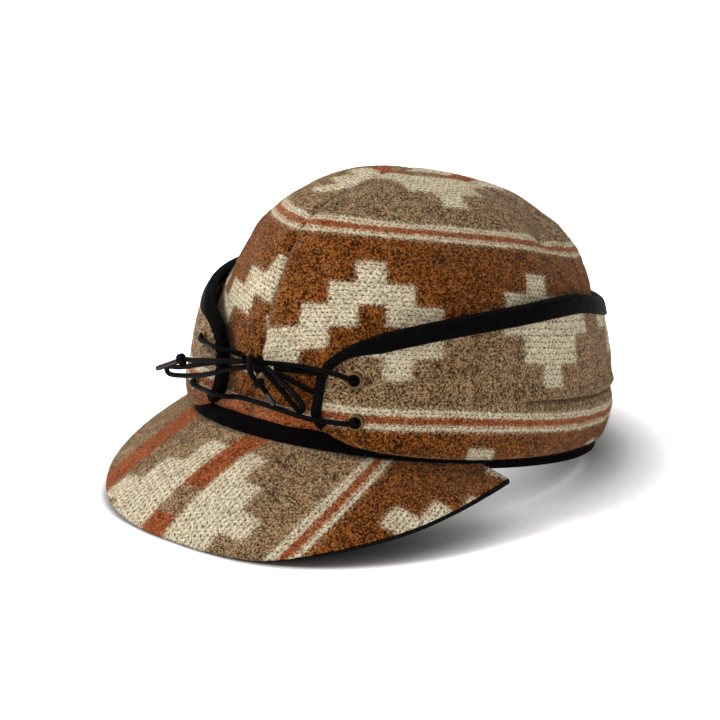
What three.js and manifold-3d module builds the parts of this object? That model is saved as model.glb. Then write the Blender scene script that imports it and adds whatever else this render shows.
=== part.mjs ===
// A wool railroad engineer cap: panelled crown, curved visor, fold-down earband tied in front with a lace.
//
// Sizes are millimetres and angles are degrees. The cap is drawn level, with the visor towards -Y and
// the wearer's left towards +X, and is then tipped back until it rests on its visor and its rear rim.
// An azimuth runs round the head from the front (0) past the wearer's left (90) to the back (180).

import * as THREE from 'three';
import { mergeVertices } from 'three/addons/utils/BufferGeometryUtils.js';
import Module from 'manifold-3d';

const wasm = await Module();
wasm.setup();

// Driving sizes

const restTilt = 10.37;
const restForward = 18.13;
const restHeight = 18.9;
const gap = 0.3;

const crownWall = 2.5;
const crownWallAtSeam = 1.7;
const crownBackSeam = 122;
const seamDip = 0.9;
const seamDipWidth = 3;

const bandTop = 9.5;
const bandInsideTop = 8;
const bandThickness = 1.2;

const visorReach = 105.7;
const visorHalfWidth = 97.8;
const visorEndY = -38;
const visorTipZ = -43.7;
const visorEndZ = -0.6;
const visorThickness = 3.4;
const visorArch = 2;
const visorInnerSpan = 66;
const visorRounding = { across: 0.794, along: 0.844, down: 0.86 };
const visorSewnZ = 1.6;
const visorEndTurn = 89.6;

const earbandStandOff = 2.2;
const earbandEdge = 2.2;
const tunnelLift = 1.3;
const tunnelReach = 6;
const leftFlare = 0.8;
const rightFlare = 4.6;
const upperEyelet = { azimuth: 28, height: 35 };
const lowerEyelet = { azimuth: 29.8, height: 16.9 };
const tuckHeight = 31;
const tuckDepth = 1.4;
const frontAzimuths = [19, 19.7, 21.2, 24, 28, 31, 34, 37, 40.5, 45];
const rightLean = 10;
const rightLift = 3.5;

const bindingThickness = 1;
const bindingClearance = 0.7;
const innerLegThickness = 0.9;
const innerLegClearance = 0.6;
const bindingFold = 1.3;
const bindingInnerLeg = 5;
const bindingWidth = 7;
const bindingEndWidth = 3.8;

const eyeletFlangeRadius = 4;
const eyeletBarrelRadius = 2.8;
const eyeletHoleRadius = 2.1;
const eyeletFlangeThickness = 0.7;
const flangeLift = 0.4;
const eyeletSides = 14;

const laceDiameter = 2.4;
const laceSteps = 72;
const bowStepsPerPoint = 1.4;
const agletSteps = 3;

// Outside of the crown, one row for each level from the rim to the apex
const crownRows = [
  { height: 0.3, halfWidth: 85.6, halfLength: 103, centreY: -2.2, squareness: 2.08 },
  { height: 14, halfWidth: 85, halfLength: 103.3, centreY: -2.3, squareness: 2.08 },
  { height: 30, halfWidth: 84.3, halfLength: 102.6, centreY: -1.8, squareness: 2.06 },
  { height: 47, halfWidth: 82.6, halfLength: 101, centreY: -1.4, squareness: 2.02 },
  { height: 64, halfWidth: 79, halfLength: 98.2, centreY: -1.4, squareness: 1.93 },
  { height: 79, halfWidth: 74.2, halfLength: 93.8, centreY: -1.2, squareness: 1.87 },
  { height: 91, halfWidth: 68.4, halfLength: 88, centreY: -1.8, squareness: 1.82 },
  { height: 99.5, halfWidth: 61.4, halfLength: 79.8, centreY: -2.6, squareness: 1.8 },
  { height: 106.5, halfWidth: 52.2, halfLength: 68.2, centreY: -4, squareness: 1.85 },
  { height: 112.5, halfWidth: 43.4, halfLength: 54.4, centreY: -6.2, squareness: 2 },
  { height: 117.3, halfWidth: 32.8, halfLength: 39.4, centreY: -8.6, squareness: 2.15 },
  { height: 120.8, halfWidth: 19, halfLength: 23.4, centreY: -11.2, squareness: 2.2 },
  { height: 122.6, halfWidth: 0.6, halfLength: 0.9, centreY: -12.5, squareness: 2 },
];

// Soft hollows in the cloth of the crown
const crownDents = [
  { azimuth: 92, height: 101, radius: 13, depth: 3 },
  { azimuth: 60, height: 93, radius: 17, depth: 1 },
  { azimuth: 268, height: 100, radius: 15, depth: 2 },
  { azimuth: 180, height: 95, radius: 20, depth: 2 },
];

// Earband cloth from its front end to the back, with the heights of its lower and upper edge
const earbandRows = [
  { azimuth: 19, bottom: 17.5, top: 34 },
  { azimuth: 19.7, bottom: 14.8, top: 38 },
  { azimuth: 21.2, bottom: 12.4, top: 42 },
  { azimuth: 24, bottom: 9.6, top: 46.8 },
  { azimuth: 28, bottom: 7, top: 51.2 },
  { azimuth: 33, bottom: 5.2, top: 55 },
  { azimuth: 40, bottom: 4, top: 59 },
  { azimuth: 50, bottom: 3.6, top: 63.4 },
  { azimuth: 62, bottom: 3.6, top: 67.4 },
  { azimuth: 76, bottom: 3.8, top: 70.8 },
  { azimuth: 92, bottom: 4.2, top: 73.8 },
  { azimuth: 108, bottom: 5, top: 74.6 },
  { azimuth: 122, bottom: 5.6, top: 72.4 },
  { azimuth: 142, bottom: 6, top: 69 },
  { azimuth: 180, bottom: 6, top: 67.5 },
];

// How far the padded earband swells past its thin edges, from its lower edge (0) to its upper edge (1)
const earbandSwell = [
  { up: 0, swell: 0 },
  { up: 0.09, swell: 1.4 },
  { up: 0.21, swell: 2.6 },
  { up: 0.33, swell: 2.3 },
  { up: 0.37, swell: 2.1 },
  { up: 0.43, swell: 1.7 },
  { up: 0.6, swell: 0.8 },
  { up: 0.82, swell: 0.3 },
  { up: 1, swell: 0 },
];

// Curves and surfaces

const radians = (degrees) => degrees * Math.PI / 180;

function smoothRow(rows, index) {
  const first = Math.min(Math.floor(index), rows.length - 2);
  const t = index - first;
  const row = (k) => rows[Math.max(0, Math.min(rows.length - 1, k))];
  const result = {};
  for (const key of Object.keys(rows[0])) {
    const [a, b, c, d] = [row(first - 1)[key], row(first)[key], row(first + 1)[key], row(first + 2)[key]];
    result[key] = b + 0.5 * t * (c - a + t * (2 * a - 5 * b + 4 * c - d + t * (3 * (b - c) + d - a)));
  }
  return result;
}

function indexWhere(rows, key, value) {
  let low = 0;
  let high = rows.length - 1;
  for (let step = 0; step < 30; step++) {
    const middle = (low + high) / 2;
    if (smoothRow(rows, middle)[key] < value) low = middle;
    else high = middle;
  }
  return low;
}

function rowWhere(rows, key, value) {
  return smoothRow(rows, indexWhere(rows, key, value));
}

function ease(from, to, value) {
  const t = Math.max(0, Math.min(1, (value - from) / (to - from)));
  return t * t * (3 - 2 * t);
}

// A point on an oval round the head, `off` millimetres outside the given row
function ovalPoint(row, azimuth, off = 0) {
  const across = Math.sin(radians(azimuth));
  const along = Math.cos(radians(azimuth));
  const power = row.squareness;
  const wide = Math.pow(Math.abs(across) / (row.halfWidth + off), power);
  const long = Math.pow(Math.abs(along) / (row.halfLength + off), power);
  const radius = Math.pow(wide + long, -1 / power);
  return new THREE.Vector3(radius * across, row.centreY - radius * along, row.height);
}

// A point `off` millimetres outside the crown at a height above the rim
function onCap(azimuth, height, off) {
  const row = height < crownRows[0].height ? crownRows[0] : rowWhere(crownRows, 'height', height);
  return ovalPoint({ ...row, height }, azimuth, off);
}

// Solids

function finished(geometry) {
  const bare = geometry.index ? geometry.clone() : geometry;
  bare.deleteAttribute('normal');
  bare.deleteAttribute('uv');
  const merged = mergeVertices(bare, 1e-4);
  const place = merged.attributes.position;
  const corner = [new THREE.Vector3(), new THREE.Vector3(), new THREE.Vector3()];
  const index = Array.from(merged.index.array);
  const kept = [];
  let volume = 0;
  for (let i = 0; i < index.length; i += 3) {
    const [a, b, c] = index.slice(i, i + 3);
    if (a === b || b === c || c === a) continue;
    [a, b, c].forEach((vertex, k) => corner[k].fromBufferAttribute(place, vertex));
    volume += corner[0].dot(corner[1].clone().cross(corner[2]));
    kept.push(a, b, c);
  }
  if (volume < 0) kept.reverse();
  merged.setIndex(kept);
  return merged;
}

function toSolid(geometry) {
  const merged = finished(geometry);
  return new wasm.Manifold(new wasm.Mesh({
    numProp: 3,
    vertProperties: new Float32Array(merged.attributes.position.array),
    triVerts: new Uint32Array(merged.index.array),
  }));
}

function toGeometry(solid) {
  const mesh = solid.getMesh();
  const geometry = new THREE.BufferGeometry();
  geometry.setAttribute('position', new THREE.BufferAttribute(new Float32Array(mesh.vertProperties), 3));
  geometry.setIndex(new THREE.BufferAttribute(new Uint32Array(mesh.triVerts), 1));
  return geometry;
}

const cut = (geometry, ...tools) => toGeometry(
  tools.reduce((solid, tool) => solid.subtract(toSolid(tool)), toSolid(geometry)));

const turned = (grid) => grid[0].map((_, k) => grid.map((line) => line[k]));

// A sheet with thickness: two grids of points, [column][row], joined along all their edges
function wall(outer, inner, closed = false) {
  const columns = outer.length;
  const rows = outer[0].length;
  const positions = [outer, inner].flat(2).flatMap((p) => [p.x, p.y, p.z]);
  const at = (side, column, row) => (side * columns + column % columns) * rows + row;
  const faces = [];
  const quad = (a, b, c, d) => faces.push(a, b, c, a, c, d);
  const lastColumn = closed ? columns : columns - 1;
  const top = rows - 1;
  for (let c = 0; c < lastColumn; c++) {
    for (let r = 0; r < top; r++) {
      quad(at(0, c, r), at(0, c + 1, r), at(0, c + 1, r + 1), at(0, c, r + 1));
      quad(at(1, c, r), at(1, c, r + 1), at(1, c + 1, r + 1), at(1, c + 1, r));
    }
    quad(at(1, c, 0), at(1, c + 1, 0), at(0, c + 1, 0), at(0, c, 0));
    quad(at(0, c, top), at(0, c + 1, top), at(1, c + 1, top), at(1, c, top));
  }
  if (!closed) {
    const end = columns - 1;
    for (let r = 0; r < top; r++) {
      quad(at(0, 0, r), at(0, 0, r + 1), at(1, 0, r + 1), at(1, 0, r));
      quad(at(0, end, r + 1), at(0, end, r), at(1, end, r), at(1, end, r + 1));
    }
  }
  const geometry = new THREE.BufferGeometry();
  geometry.setAttribute('position', new THREE.Float32BufferAttribute(positions, 3));
  geometry.setIndex(faces);
  return finished(geometry);
}

function tube(points, diameter, steps) {
  const sides = 7;
  const section = new THREE.Shape();
  for (let k = 0; k < sides; k++) {
    const angle = (k / sides) * 2 * Math.PI;
    const [x, y] = [diameter / 2 * Math.cos(angle), diameter / 2 * Math.sin(angle)];
    if (k) section.lineTo(x, y);
    else section.moveTo(x, y);
  }
  section.closePath();
  const path = new THREE.CatmullRomCurve3(points, false, 'centripetal');
  return finished(new THREE.ExtrudeGeometry(section, { steps, extrudePath: path, bevelEnabled: false }));
}

// The floor that the finished cap stands on, as a thick block under it in the cap's own level frame
function floorBlock() {
  const block = new THREE.BoxGeometry(400, 500, 60);
  block.translate(0, 0, -30 - restHeight);
  block.rotateX(radians(restTilt));
  return block;
}

// Crown: two front panels and a back panel, meeting at the apex

const panelSteps = 10;
const crownLevels = 16;
const besideSeam = [0, seamDipWidth, 3 * seamDipWidth];

// Azimuths of a panel's columns where the crown has the given radius, closer together beside its two seams
function panelAzimuths(from, to, radius) {
  const degreesPerMillimetre = 180 / Math.PI / radius;
  const trim = Math.min(20, gap / 2 * degreesPerMillimetre);
  const half = (to - from) / 2 - trim;
  const widest = besideSeam.at(-1) * degreesPerMillimetre;
  const beside = besideSeam.map((distance) => distance * degreesPerMillimetre * Math.min(1, half / 3 / widest));
  const last = beside.at(-1);
  const even = Array.from({ length: panelSteps / 2 }, (_, k) => last + (k + 1) * (half - last) / (panelSteps / 2));
  const halfway = [...beside, ...even].map((degrees) => from + trim + degrees);
  return [...halfway, ...halfway.slice(0, -1).reverse().map((azimuth) => from + to - azimuth)];
}

// The outer and the inner face of the crown cloth, both on the same azimuth so that panels never cross
function crownSurface(index, azimuth, seamDistance) {
  const row = smoothRow(crownRows, index);
  const point = ovalPoint(row, azimuth);
  const step = 0.2;
  const higher = ovalPoint(smoothRow(crownRows, Math.min(index + step, crownRows.length - 1)), azimuth);
  const lower = ovalPoint(smoothRow(crownRows, Math.max(index - step, 0)), azimuth);
  const rise = higher.z - lower.z;
  const run = Math.hypot(lower.x, lower.y - row.centreY) - Math.hypot(higher.x, higher.y - row.centreY);
  const length = Math.hypot(rise, run);
  let depth = seamDip * Math.exp(-((seamDistance / seamDipWidth) ** 2)) * ease(4, 14, row.height);
  for (const dent of crownDents) {
    const distance = point.distanceTo(onCap(dent.azimuth, dent.height, 0));
    depth += dent.depth * Math.exp(-((distance / dent.radius) ** 2));
  }
  const sunk = (by) => {
    const inward = Math.min(by * rise / length, row.halfWidth / 2);
    return ovalPoint({ ...row, height: row.height - by * run / length }, azimuth, -inward);
  };
  return { outer: sunk(depth), inner: sunk(Math.max(crownWall, depth + crownWallAtSeam)) };
}

function crownPanel(from, to) {
  const outside = [];
  const inside = [];
  for (let level = 0; level <= crownLevels; level++) {
    const index = level / crownLevels * (crownRows.length - 1);
    const row = smoothRow(crownRows, index);
    const radius = Math.sqrt(row.halfWidth * row.halfLength);
    const points = panelAzimuths(from, to, radius).map((azimuth) => {
      const fromSeam = Math.min(azimuth - from, to - azimuth);
      return crownSurface(index, azimuth, radians(fromSeam) * radius);
    });
    outside.push(points.map((point) => point.outer));
    inside.push(points.map((point) => point.inner));
  }
  return wall(turned(outside), turned(inside));
}

const panels = {
  left: [0, crownBackSeam],
  back: [crownBackSeam, 360 - crownBackSeam],
  right: [360 - crownBackSeam, 360],
};
const rimRadius = Math.sqrt(crownRows[0].halfWidth * crownRows[0].halfLength);
const headAzimuths = Object.values(panels).flatMap(([from, to]) => panelAzimuths(from, to, rimRadius));

// Rim band: a strip folded under the lower edge of the crown

function rimBand() {
  const [front, back, chamfer] = [gap, -crownWall - gap, bandThickness / 2];
  const section = [
    { outerOff: front + bandThickness, outerZ: bandTop, innerOff: front, innerZ: bandTop },
    { outerOff: front + bandThickness, outerZ: -chamfer, innerOff: front, innerZ: 0 },
    { outerOff: front + chamfer, outerZ: -bandThickness, innerOff: (front + back) / 2, innerZ: 0 },
    { outerOff: back - chamfer, outerZ: -bandThickness, innerOff: (front + 2 * back) / 3, innerZ: 0 },
    { outerOff: back - bandThickness, outerZ: -chamfer, innerOff: back, innerZ: 0 },
    { outerOff: back - bandThickness, outerZ: bandInsideTop, innerOff: back, innerZ: bandInsideTop },
  ];
  const outer = [];
  const inner = [];
  for (const azimuth of headAzimuths) {
    outer.push(section.map((p) => onCap(azimuth, p.outerZ, p.outerOff)));
    inner.push(section.map((p) => onCap(azimuth, p.innerZ, p.innerOff)));
  }
  return cut(wall(outer, inner, true), floorBlock());
}

// Visor: a stiff curved sheet sewn to the front of the rim band

function visorOuterEdge(turn) {
  const across = Math.sin(radians(turn));
  const along = Math.cos(radians(turn));
  return new THREE.Vector3(
    visorHalfWidth * Math.sign(across) * Math.pow(Math.abs(across), visorRounding.across),
    visorEndY - visorReach * Math.pow(along, visorRounding.along),
    visorEndZ + (visorTipZ - visorEndZ) * Math.pow(along, visorRounding.down));
}

function visorPoint(turn, out) {
  const inner = onCap(turn / 90 * visorInnerSpan, 0, gap + bandThickness + gap).setZ(visorSewnZ);
  const arch = visorArch * 4 * out * (1 - out) * Math.cos(radians(turn));
  const bulge = arch * Math.SQRT1_2;
  return inner.lerp(visorOuterEdge(turn), out).add(new THREE.Vector3(0, -bulge, bulge));
}

function visor() {
  const across = 26;
  const out = 5;
  const upper = [];
  const lower = [];
  for (let column = 0; column <= across; column++) {
    const turn = visorEndTurn * (2 * column / across - 1);
    const [top, bottom] = [[], []];
    for (let row = out; row >= 0; row--) {
      const far = row / out;
      const point = visorPoint(turn, far);
      const step = 0.4;
      const around = visorPoint(Math.min(turn + step, visorEndTurn), far)
        .sub(visorPoint(Math.max(turn - step, -visorEndTurn), far));
      const inward = visorPoint(turn, far - 0.01).sub(visorPoint(turn, far + 0.01));
      const up = around.cross(inward).normalize();
      const sewn = Math.min(1, far * 3);
      const down = new THREE.Vector3(0, 0, 1).lerp(up, sewn).normalize();
      top.push(point);
      bottom.push(point.clone().addScaledVector(down, -visorThickness));
    }
    upper.push(top);
    lower.push(bottom);
  }
  return cut(wall(upper, lower), floorBlock());
}

// Earband: a padded flap round the sides and back, open in front

// The band stands off the crown, further where the lace passes behind it
function earbandInnerOff(azimuth) {
  const fromLace = azimuth - (upperEyelet.azimuth + lowerEyelet.azimuth) / 2;
  return earbandStandOff + tunnelLift * Math.exp(-((fromLace / tunnelReach) ** 2));
}

// The upper corner of the front end stands off more, on the wearer's right most of all
function earbandFlare(azimuth, height, side) {
  const most = side > 0 ? leftFlare : rightFlare;
  return most * (ease(20, 44, height) - 0.3 * ease(44, 76, height)) * (1 - ease(25, 75, azimuth));
}

// Distance from the crown to the inner (padding 0) or the outer (padding 1) face of the earband
function earbandOff(azimuth, height, side, padding) {
  const edge = rowWhere(earbandRows, 'azimuth', azimuth);
  const up = THREE.MathUtils.clamp((height - edge.bottom) / (edge.top - edge.bottom), 0, 1);
  const swell = rowWhere(earbandSwell, 'up', up).swell * ease(20, 46, azimuth);
  const tuck = tuckDepth * Math.exp(-(((height - tuckHeight) / 2) ** 2)) * ease(70, 80, azimuth);
  const standOff = earbandInnerOff(azimuth) + earbandFlare(azimuth, height, side);
  return standOff + padding * (earbandEdge + swell - tuck);
}

// Close together round the front end, then the same as the crown's
function earbandAzimuths() {
  const backSeam = 180 - gap / 2 / rimRadius * 180 / Math.PI;
  const rest = headAzimuths.filter((azimuth) => azimuth > frontAzimuths.at(-1) + 3 && azimuth <= 180);
  return [...frontAzimuths, ...rest.map((azimuth) => Math.min(backSeam, azimuth))];
}

// The same place on the wearer's left (side 1) or right (side -1), whose front end is pulled up to the middle
function onSide(side, azimuth, height, off) {
  const share = side < 0 ? ease(0, 19, azimuth) * (1 - ease(20, 90, azimuth)) : 0;
  const lift = rightLift * (ease(12, 36, height) - 0.8 * ease(38, 66, height));
  const point = onCap(azimuth - rightLean * share, height + lift * share, off);
  return point.setX(side * point.x);
}

function earband(side) {
  const outer = [];
  const inner = [];
  for (const azimuth of earbandAzimuths()) {
    const edge = rowWhere(earbandRows, 'azimuth', azimuth);
    const heights = earbandSwell.map((row) => edge.bottom + row.up * (edge.top - edge.bottom));
    outer.push(heights.map((z) => onSide(side, azimuth, z, earbandOff(azimuth, z, side, 1))));
    inner.push(heights.map((z) => onSide(side, azimuth, z, earbandOff(azimuth, z, side, 0))));
  }
  const holes = [upperEyelet, lowerEyelet].map((spot) => {
    const hole = new THREE.CylinderGeometry(eyeletBarrelRadius + gap, eyeletBarrelRadius + gap, 14, eyeletSides);
    return standing(hole, side, spot);
  });
  return cut(wall(outer, inner), ...holes);
}

// Moves a piece that is drawn along +Y to an eyelet, with +Y square to the face of the earband there
function standing(geometry, side, { azimuth, height }) {
  const face = (a, z) => onSide(side, a, z, earbandOff(a, z, side, 1));
  const reach = 3;
  const around = face(azimuth + reach / 2, height).sub(face(azimuth - reach / 2, height));
  const up = face(azimuth, height + reach).sub(face(azimuth, height - reach));
  const outward = around.cross(up).multiplyScalar(side).normalize();
  const turn = new THREE.Quaternion().setFromUnitVectors(new THREE.Vector3(0, 1, 0), outward);
  const place = face(azimuth, height);
  geometry.applyMatrix4(new THREE.Matrix4().compose(place, turn, new THREE.Vector3(1, 1, 1)));
  return geometry;
}

function eyelet(side, spot) {
  const depth = earbandOff(spot.azimuth, spot.height, side, 1) - earbandOff(spot.azimuth, spot.height, side, 0);
  const profile = [
    [eyeletHoleRadius, -depth + 0.1],
    [eyeletBarrelRadius, -depth + 0.1],
    [eyeletBarrelRadius, flangeLift],
    [eyeletFlangeRadius, flangeLift],
    [eyeletFlangeRadius, flangeLift + eyeletFlangeThickness * 0.5],
    [(eyeletFlangeRadius + eyeletHoleRadius) / 2, flangeLift + eyeletFlangeThickness],
    [eyeletHoleRadius, flangeLift + eyeletFlangeThickness * 0.3],
  ].map(([radius, z]) => new THREE.Vector2(radius, z));
  return standing(finished(new THREE.LatheGeometry([...profile, profile[0]], eyeletSides)), side, spot);
}

// Binding: a tape folded over the open edge of the earband, up one front end and down the other

function bindingEdge() {
  const azimuths = earbandAzimuths();
  const edges = azimuths.map((azimuth) => rowWhere(earbandRows, 'azimuth', azimuth));
  const corner = azimuths.findIndex((azimuth) => azimuth > 22);
  const lower = edges.slice(0, corner).reverse().map((edge) => [edge.azimuth, edge.bottom]);
  const first = edges[0];
  const end = [1, 2].map((k) => [first.azimuth, first.bottom + (first.top - first.bottom) * k / 3]);
  return [...lower, ...end, ...edges.map((edge) => [edge.azimuth, edge.top])];
}

function binding(side) {
  const millimetresPerDegree = 1.75;
  const edge = bindingEdge();
  const outer = [];
  const inner = [];
  edge.forEach(([azimuth, height], k) => {
    const [before, after] = [edge[Math.max(0, k - 1)], edge[Math.min(edge.length - 1, k + 1)]];
    const along = new THREE.Vector2((after[0] - before[0]) * millimetresPerDegree, after[1] - before[1]);
    along.normalize();
    const width = bindingEndWidth + (bindingWidth - bindingEndWidth) * ease(22, 34, azimuth);
    const point = (inward, padding, raise) => {
      const a = azimuth + inward * along.y / millimetresPerDegree;
      const z = height - inward * along.x;
      const within = Math.max(a, earbandRows[0].azimuth);
      return onSide(side, Math.min(a, 180), z, earbandOff(within, z, side, padding) + raise);
    };
    const thick = bindingClearance + bindingThickness;
    outer.push([point(width, 1, thick), point(width / 2, 1, thick), point(-0.2, 1, thick),
      point(-bindingFold, 1, gap), point(-bindingFold, 0, 0),
      point(-gap, 0, -innerLegClearance - innerLegThickness),
      point(bindingInnerLeg, 0, -innerLegClearance - innerLegThickness)]);
    inner.push([point(width, 1, bindingClearance), point(width / 2, 1, bindingClearance),
      point(-0.1, 1, bindingClearance), point(-gap, 1, 0), point(-gap, 0, gap / 2),
      point(-0.1, 0, -innerLegClearance), point(bindingInnerLeg, 0, -innerLegClearance)]);
  });
  return wall(outer, inner);
}

// Lace: one cord through the four eyelets, tied in a bow in front

const knotCentre = new THREE.Vector3(5.2, -109.4, 34.4);
const knotSize = new THREE.Vector3(5.2, 3.6, 4.2);

function lump(centre, size, detail = 1) {
  const geometry = new THREE.IcosahedronGeometry(1, detail);
  geometry.scale(size.x, size.y, size.z);
  geometry.translate(centre.x, centre.y, centre.z);
  return geometry;
}

// Half of the laced stretch, from the bow knot to the middle of the lower run: the height of the cord's
// middle above the crown (over 0) or above the face of the earband (over 1)
const lacedHalf = [
  { azimuth: 3, height: 36.2, over: 0, off: 4.6 },
  { azimuth: 9, height: 37.3, over: 0, off: 3.2 },
  { azimuth: 15, height: 38, over: 0, off: 5 },
  { azimuth: 19.5, height: 38, over: 1, off: 3.3 },
  { azimuth: 23, height: 37.2, over: 1, off: 3.2 },
  { azimuth: 26.4, height: 36, over: 1, off: 3.1 },
  { azimuth: 28, height: 35, over: 1, off: 1.5 },
  { azimuth: 28, height: 34.8, over: 0, off: 4 },
  { azimuth: 28.1, height: 32.6, over: 0, off: 1.75 },
  { azimuth: 28.7, height: 26, over: 0, off: 1.65 },
  { azimuth: 29.6, height: 19.8, over: 0, off: 1.75 },
  { azimuth: 29.8, height: 17, over: 0, off: 2.9 },
  { azimuth: 29.8, height: 16.9, over: 1, off: 1.8 },
  { azimuth: 28.2, height: 16.5, over: 1, off: 3.4 },
  { azimuth: 24, height: 16, over: 1, off: 3 },
  { azimuth: 19.7, height: 15.8, over: 1, off: 3.3 },
  { azimuth: 15, height: 15.9, over: 0, off: 5 },
  { azimuth: 10, height: 16.3, over: 0, off: 2.6 },
  { azimuth: 4, height: 16.8, over: 0, off: 2.1 },
];

function lacePath() {
  const half = (side) => lacedHalf.map((p) => {
    const face = p.over ? earbandOff(p.azimuth, p.height, side, 1) : 0;
    return onSide(side, p.azimuth, p.height, face + p.off);
  });
  return [...half(1), ...half(-1).reverse()];
}

// The bow's loops and the two ends, as points in the level frame
const bow = {
  loop_left: [[8, -109.3, 32.6], [14, -108.2, 29.2], [21.5, -106.4, 24], [28.2, -104.4, 19.4], [31.3, -103.6, 19.4],
    [31, -103.8, 23], [24.8, -106, 28.4], [15, -108.6, 32.6], [10, -109.4, 34.2]],
  loop_right: [[1, -111, 34.8], [-11, -112.1, 32.8], [-26, -113, 29], [-38.8, -113.2, 25], [-46.4, -113, 22.7],
    [-48.6, -112.4, 20.5], [-45.6, -111.5, 18.9], [-36.9, -110.6, 18.7], [-22.6, -111.9, 21.6], [-9.6, -111.6, 26.6],
    [0, -111, 31.6]],
  tail_right: [[0.5, -113.2, 35.8], [-11, -116.6, 36.2], [-21, -117.8, 33.2], [-28, -117.6, 30.4],
    [-33, -116.6, 29]],
  tail_left: [[7, -113.2, 32.4], [9.4, -113.8, 30.8], [11, -113.2, 29.4]],
};
const endKnots = {
  right: { centre: [-35.2, -116.4, 28.5], aglet: [[-37.4, -116.8, 27.2], [-48, -118.6, 21.8]] },
  left: { centre: [11.8, -112.2, 27.2], aglet: [[13.2, -111.8, 24.6], [18, -109.6, 18.4]] },
};
const endKnotSize = new THREE.Vector3(2.7, 2.4, 2.9);

const vectors = (points) => points.map((p) => new THREE.Vector3(...p));

// Materials, one function for each finish

const wool = () => new THREE.MeshStandardMaterial({ color: '#8a5c3c', roughness: 0.95, metalness: 0 });
const twill = () => new THREE.MeshStandardMaterial({ color: '#131313', roughness: 0.85, metalness: 0 });
const waxedCord = () => new THREE.MeshStandardMaterial({ color: '#101010', roughness: 0.55, metalness: 0 });
const brass = () => new THREE.MeshStandardMaterial({ color: '#6e5a34', roughness: 0.4, metalness: 1 });
const clearTip = () => new THREE.MeshStandardMaterial({ color: '#26221f', roughness: 0.2, metalness: 0 });

// Assembly

const cap = new THREE.Group();
cap.rotation.x = -radians(restTilt);
cap.position.set(0, restForward, restHeight);

function add(name, geometry, material) {
  const mesh = new THREE.Mesh(finished(geometry), material);
  mesh.name = name;
  cap.add(mesh);
}

for (const [name, [from, to]] of Object.entries(panels)) add(`crown_${name}`, crownPanel(from, to), wool());
add('rim_band', rimBand(), twill());
add('visor', visor(), wool());

for (const [name, side] of [['left', 1], ['right', -1]]) {
  add(`earband_${name}`, earband(side), wool());
  add(`earband_binding_${name}`, binding(side), twill());
  add(`eyelet_upper_${name}`, eyelet(side, upperEyelet), brass());
  add(`eyelet_lower_${name}`, eyelet(side, lowerEyelet), brass());
}

const aroundKnot = lump(knotCentre, knotSize.clone().addScalar(gap));
add('lace_knot', lump(knotCentre, knotSize), waxedCord());
add('lace', cut(tube(lacePath(), laceDiameter, laceSteps), aroundKnot), waxedCord());
for (const [name, points] of Object.entries(bow)) {
  const steps = Math.round(points.length * bowStepsPerPoint);
  const lumps = Object.values(endKnots).map((end) =>
    lump(vectors([end.centre])[0], endKnotSize.clone().addScalar(gap)));
  add(`lace_${name}`, cut(tube(vectors(points), laceDiameter, steps), aroundKnot, ...lumps), waxedCord());
}
for (const [name, end] of Object.entries(endKnots)) {
  const centre = vectors([end.centre])[0];
  add(`lace_end_knot_${name}`, lump(centre, endKnotSize), waxedCord());
  const tip = tube(vectors(end.aglet), laceDiameter, agletSteps);
  add(`aglet_${name}`, cut(tip, lump(centre, endKnotSize.clone().addScalar(gap))), clearTip());
}

const part = new THREE.Group();
part.add(cap);
export default part;
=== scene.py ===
# %% [markdown]
# # A wool engineer cap with a fold-down earband
# The cap has a crown of three panels, a curved visor, and a padded earband that is held in front by a lace.
# This lesson dresses the plain solids of the cap in cloth, tape, cord and brass.
# Lengths are written in millimetres, as a cap maker would, and turned into metres when a mesh is made.

# %% Load the frame
import math

import bpy
import numpy as np
from mathutils import Matrix, Vector


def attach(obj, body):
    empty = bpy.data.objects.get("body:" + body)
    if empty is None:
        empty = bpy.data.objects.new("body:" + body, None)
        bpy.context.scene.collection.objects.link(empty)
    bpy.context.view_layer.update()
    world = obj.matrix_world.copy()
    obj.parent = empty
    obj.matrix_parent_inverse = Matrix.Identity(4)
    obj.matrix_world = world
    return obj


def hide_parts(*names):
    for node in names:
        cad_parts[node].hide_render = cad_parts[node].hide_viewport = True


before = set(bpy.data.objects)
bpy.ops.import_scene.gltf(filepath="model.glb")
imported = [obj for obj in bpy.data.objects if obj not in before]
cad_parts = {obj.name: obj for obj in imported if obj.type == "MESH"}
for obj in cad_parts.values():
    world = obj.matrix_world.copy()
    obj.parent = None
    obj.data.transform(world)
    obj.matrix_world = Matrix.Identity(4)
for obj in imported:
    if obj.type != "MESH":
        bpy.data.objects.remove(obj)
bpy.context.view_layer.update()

# %% [markdown]
# ## The camera
# The picture is taken from the wearer's front left, a little above the visor, with a long lens.
# The camera is placed by three directions: to its right, up, and back from the cap towards the camera.

# %% Camera
TURN = math.radians(42.38)
RISE = math.radians(17.03)
FOCAL_PIXELS = 2508
PICTURE_PIXELS = 720
SENSOR = 36.0
DISTANCE = 1.2

to_right = Vector((math.cos(TURN), math.sin(TURN), 0))
to_back = Vector((math.sin(TURN) * math.cos(RISE), -math.cos(TURN) * math.cos(RISE), math.sin(RISE)))
to_top = to_back.cross(to_right)
aim = Vector((0, 0.01813, 0.0189)) - 0.01935 * to_right + 0.02983 * to_top

camera = bpy.data.objects.new("camera", bpy.data.cameras.new("camera"))
bpy.context.scene.collection.objects.link(camera)
camera.data.sensor_width = SENSOR
camera.data.lens = FOCAL_PIXELS / PICTURE_PIXELS * SENSOR
turned = Matrix((to_right, to_top, to_back)).transposed().to_4x4()
camera.matrix_world = Matrix.Translation(aim + DISTANCE * to_back) @ turned
bpy.context.scene.camera = camera
print("lens", round(camera.data.lens, 1), "mm")

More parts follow.
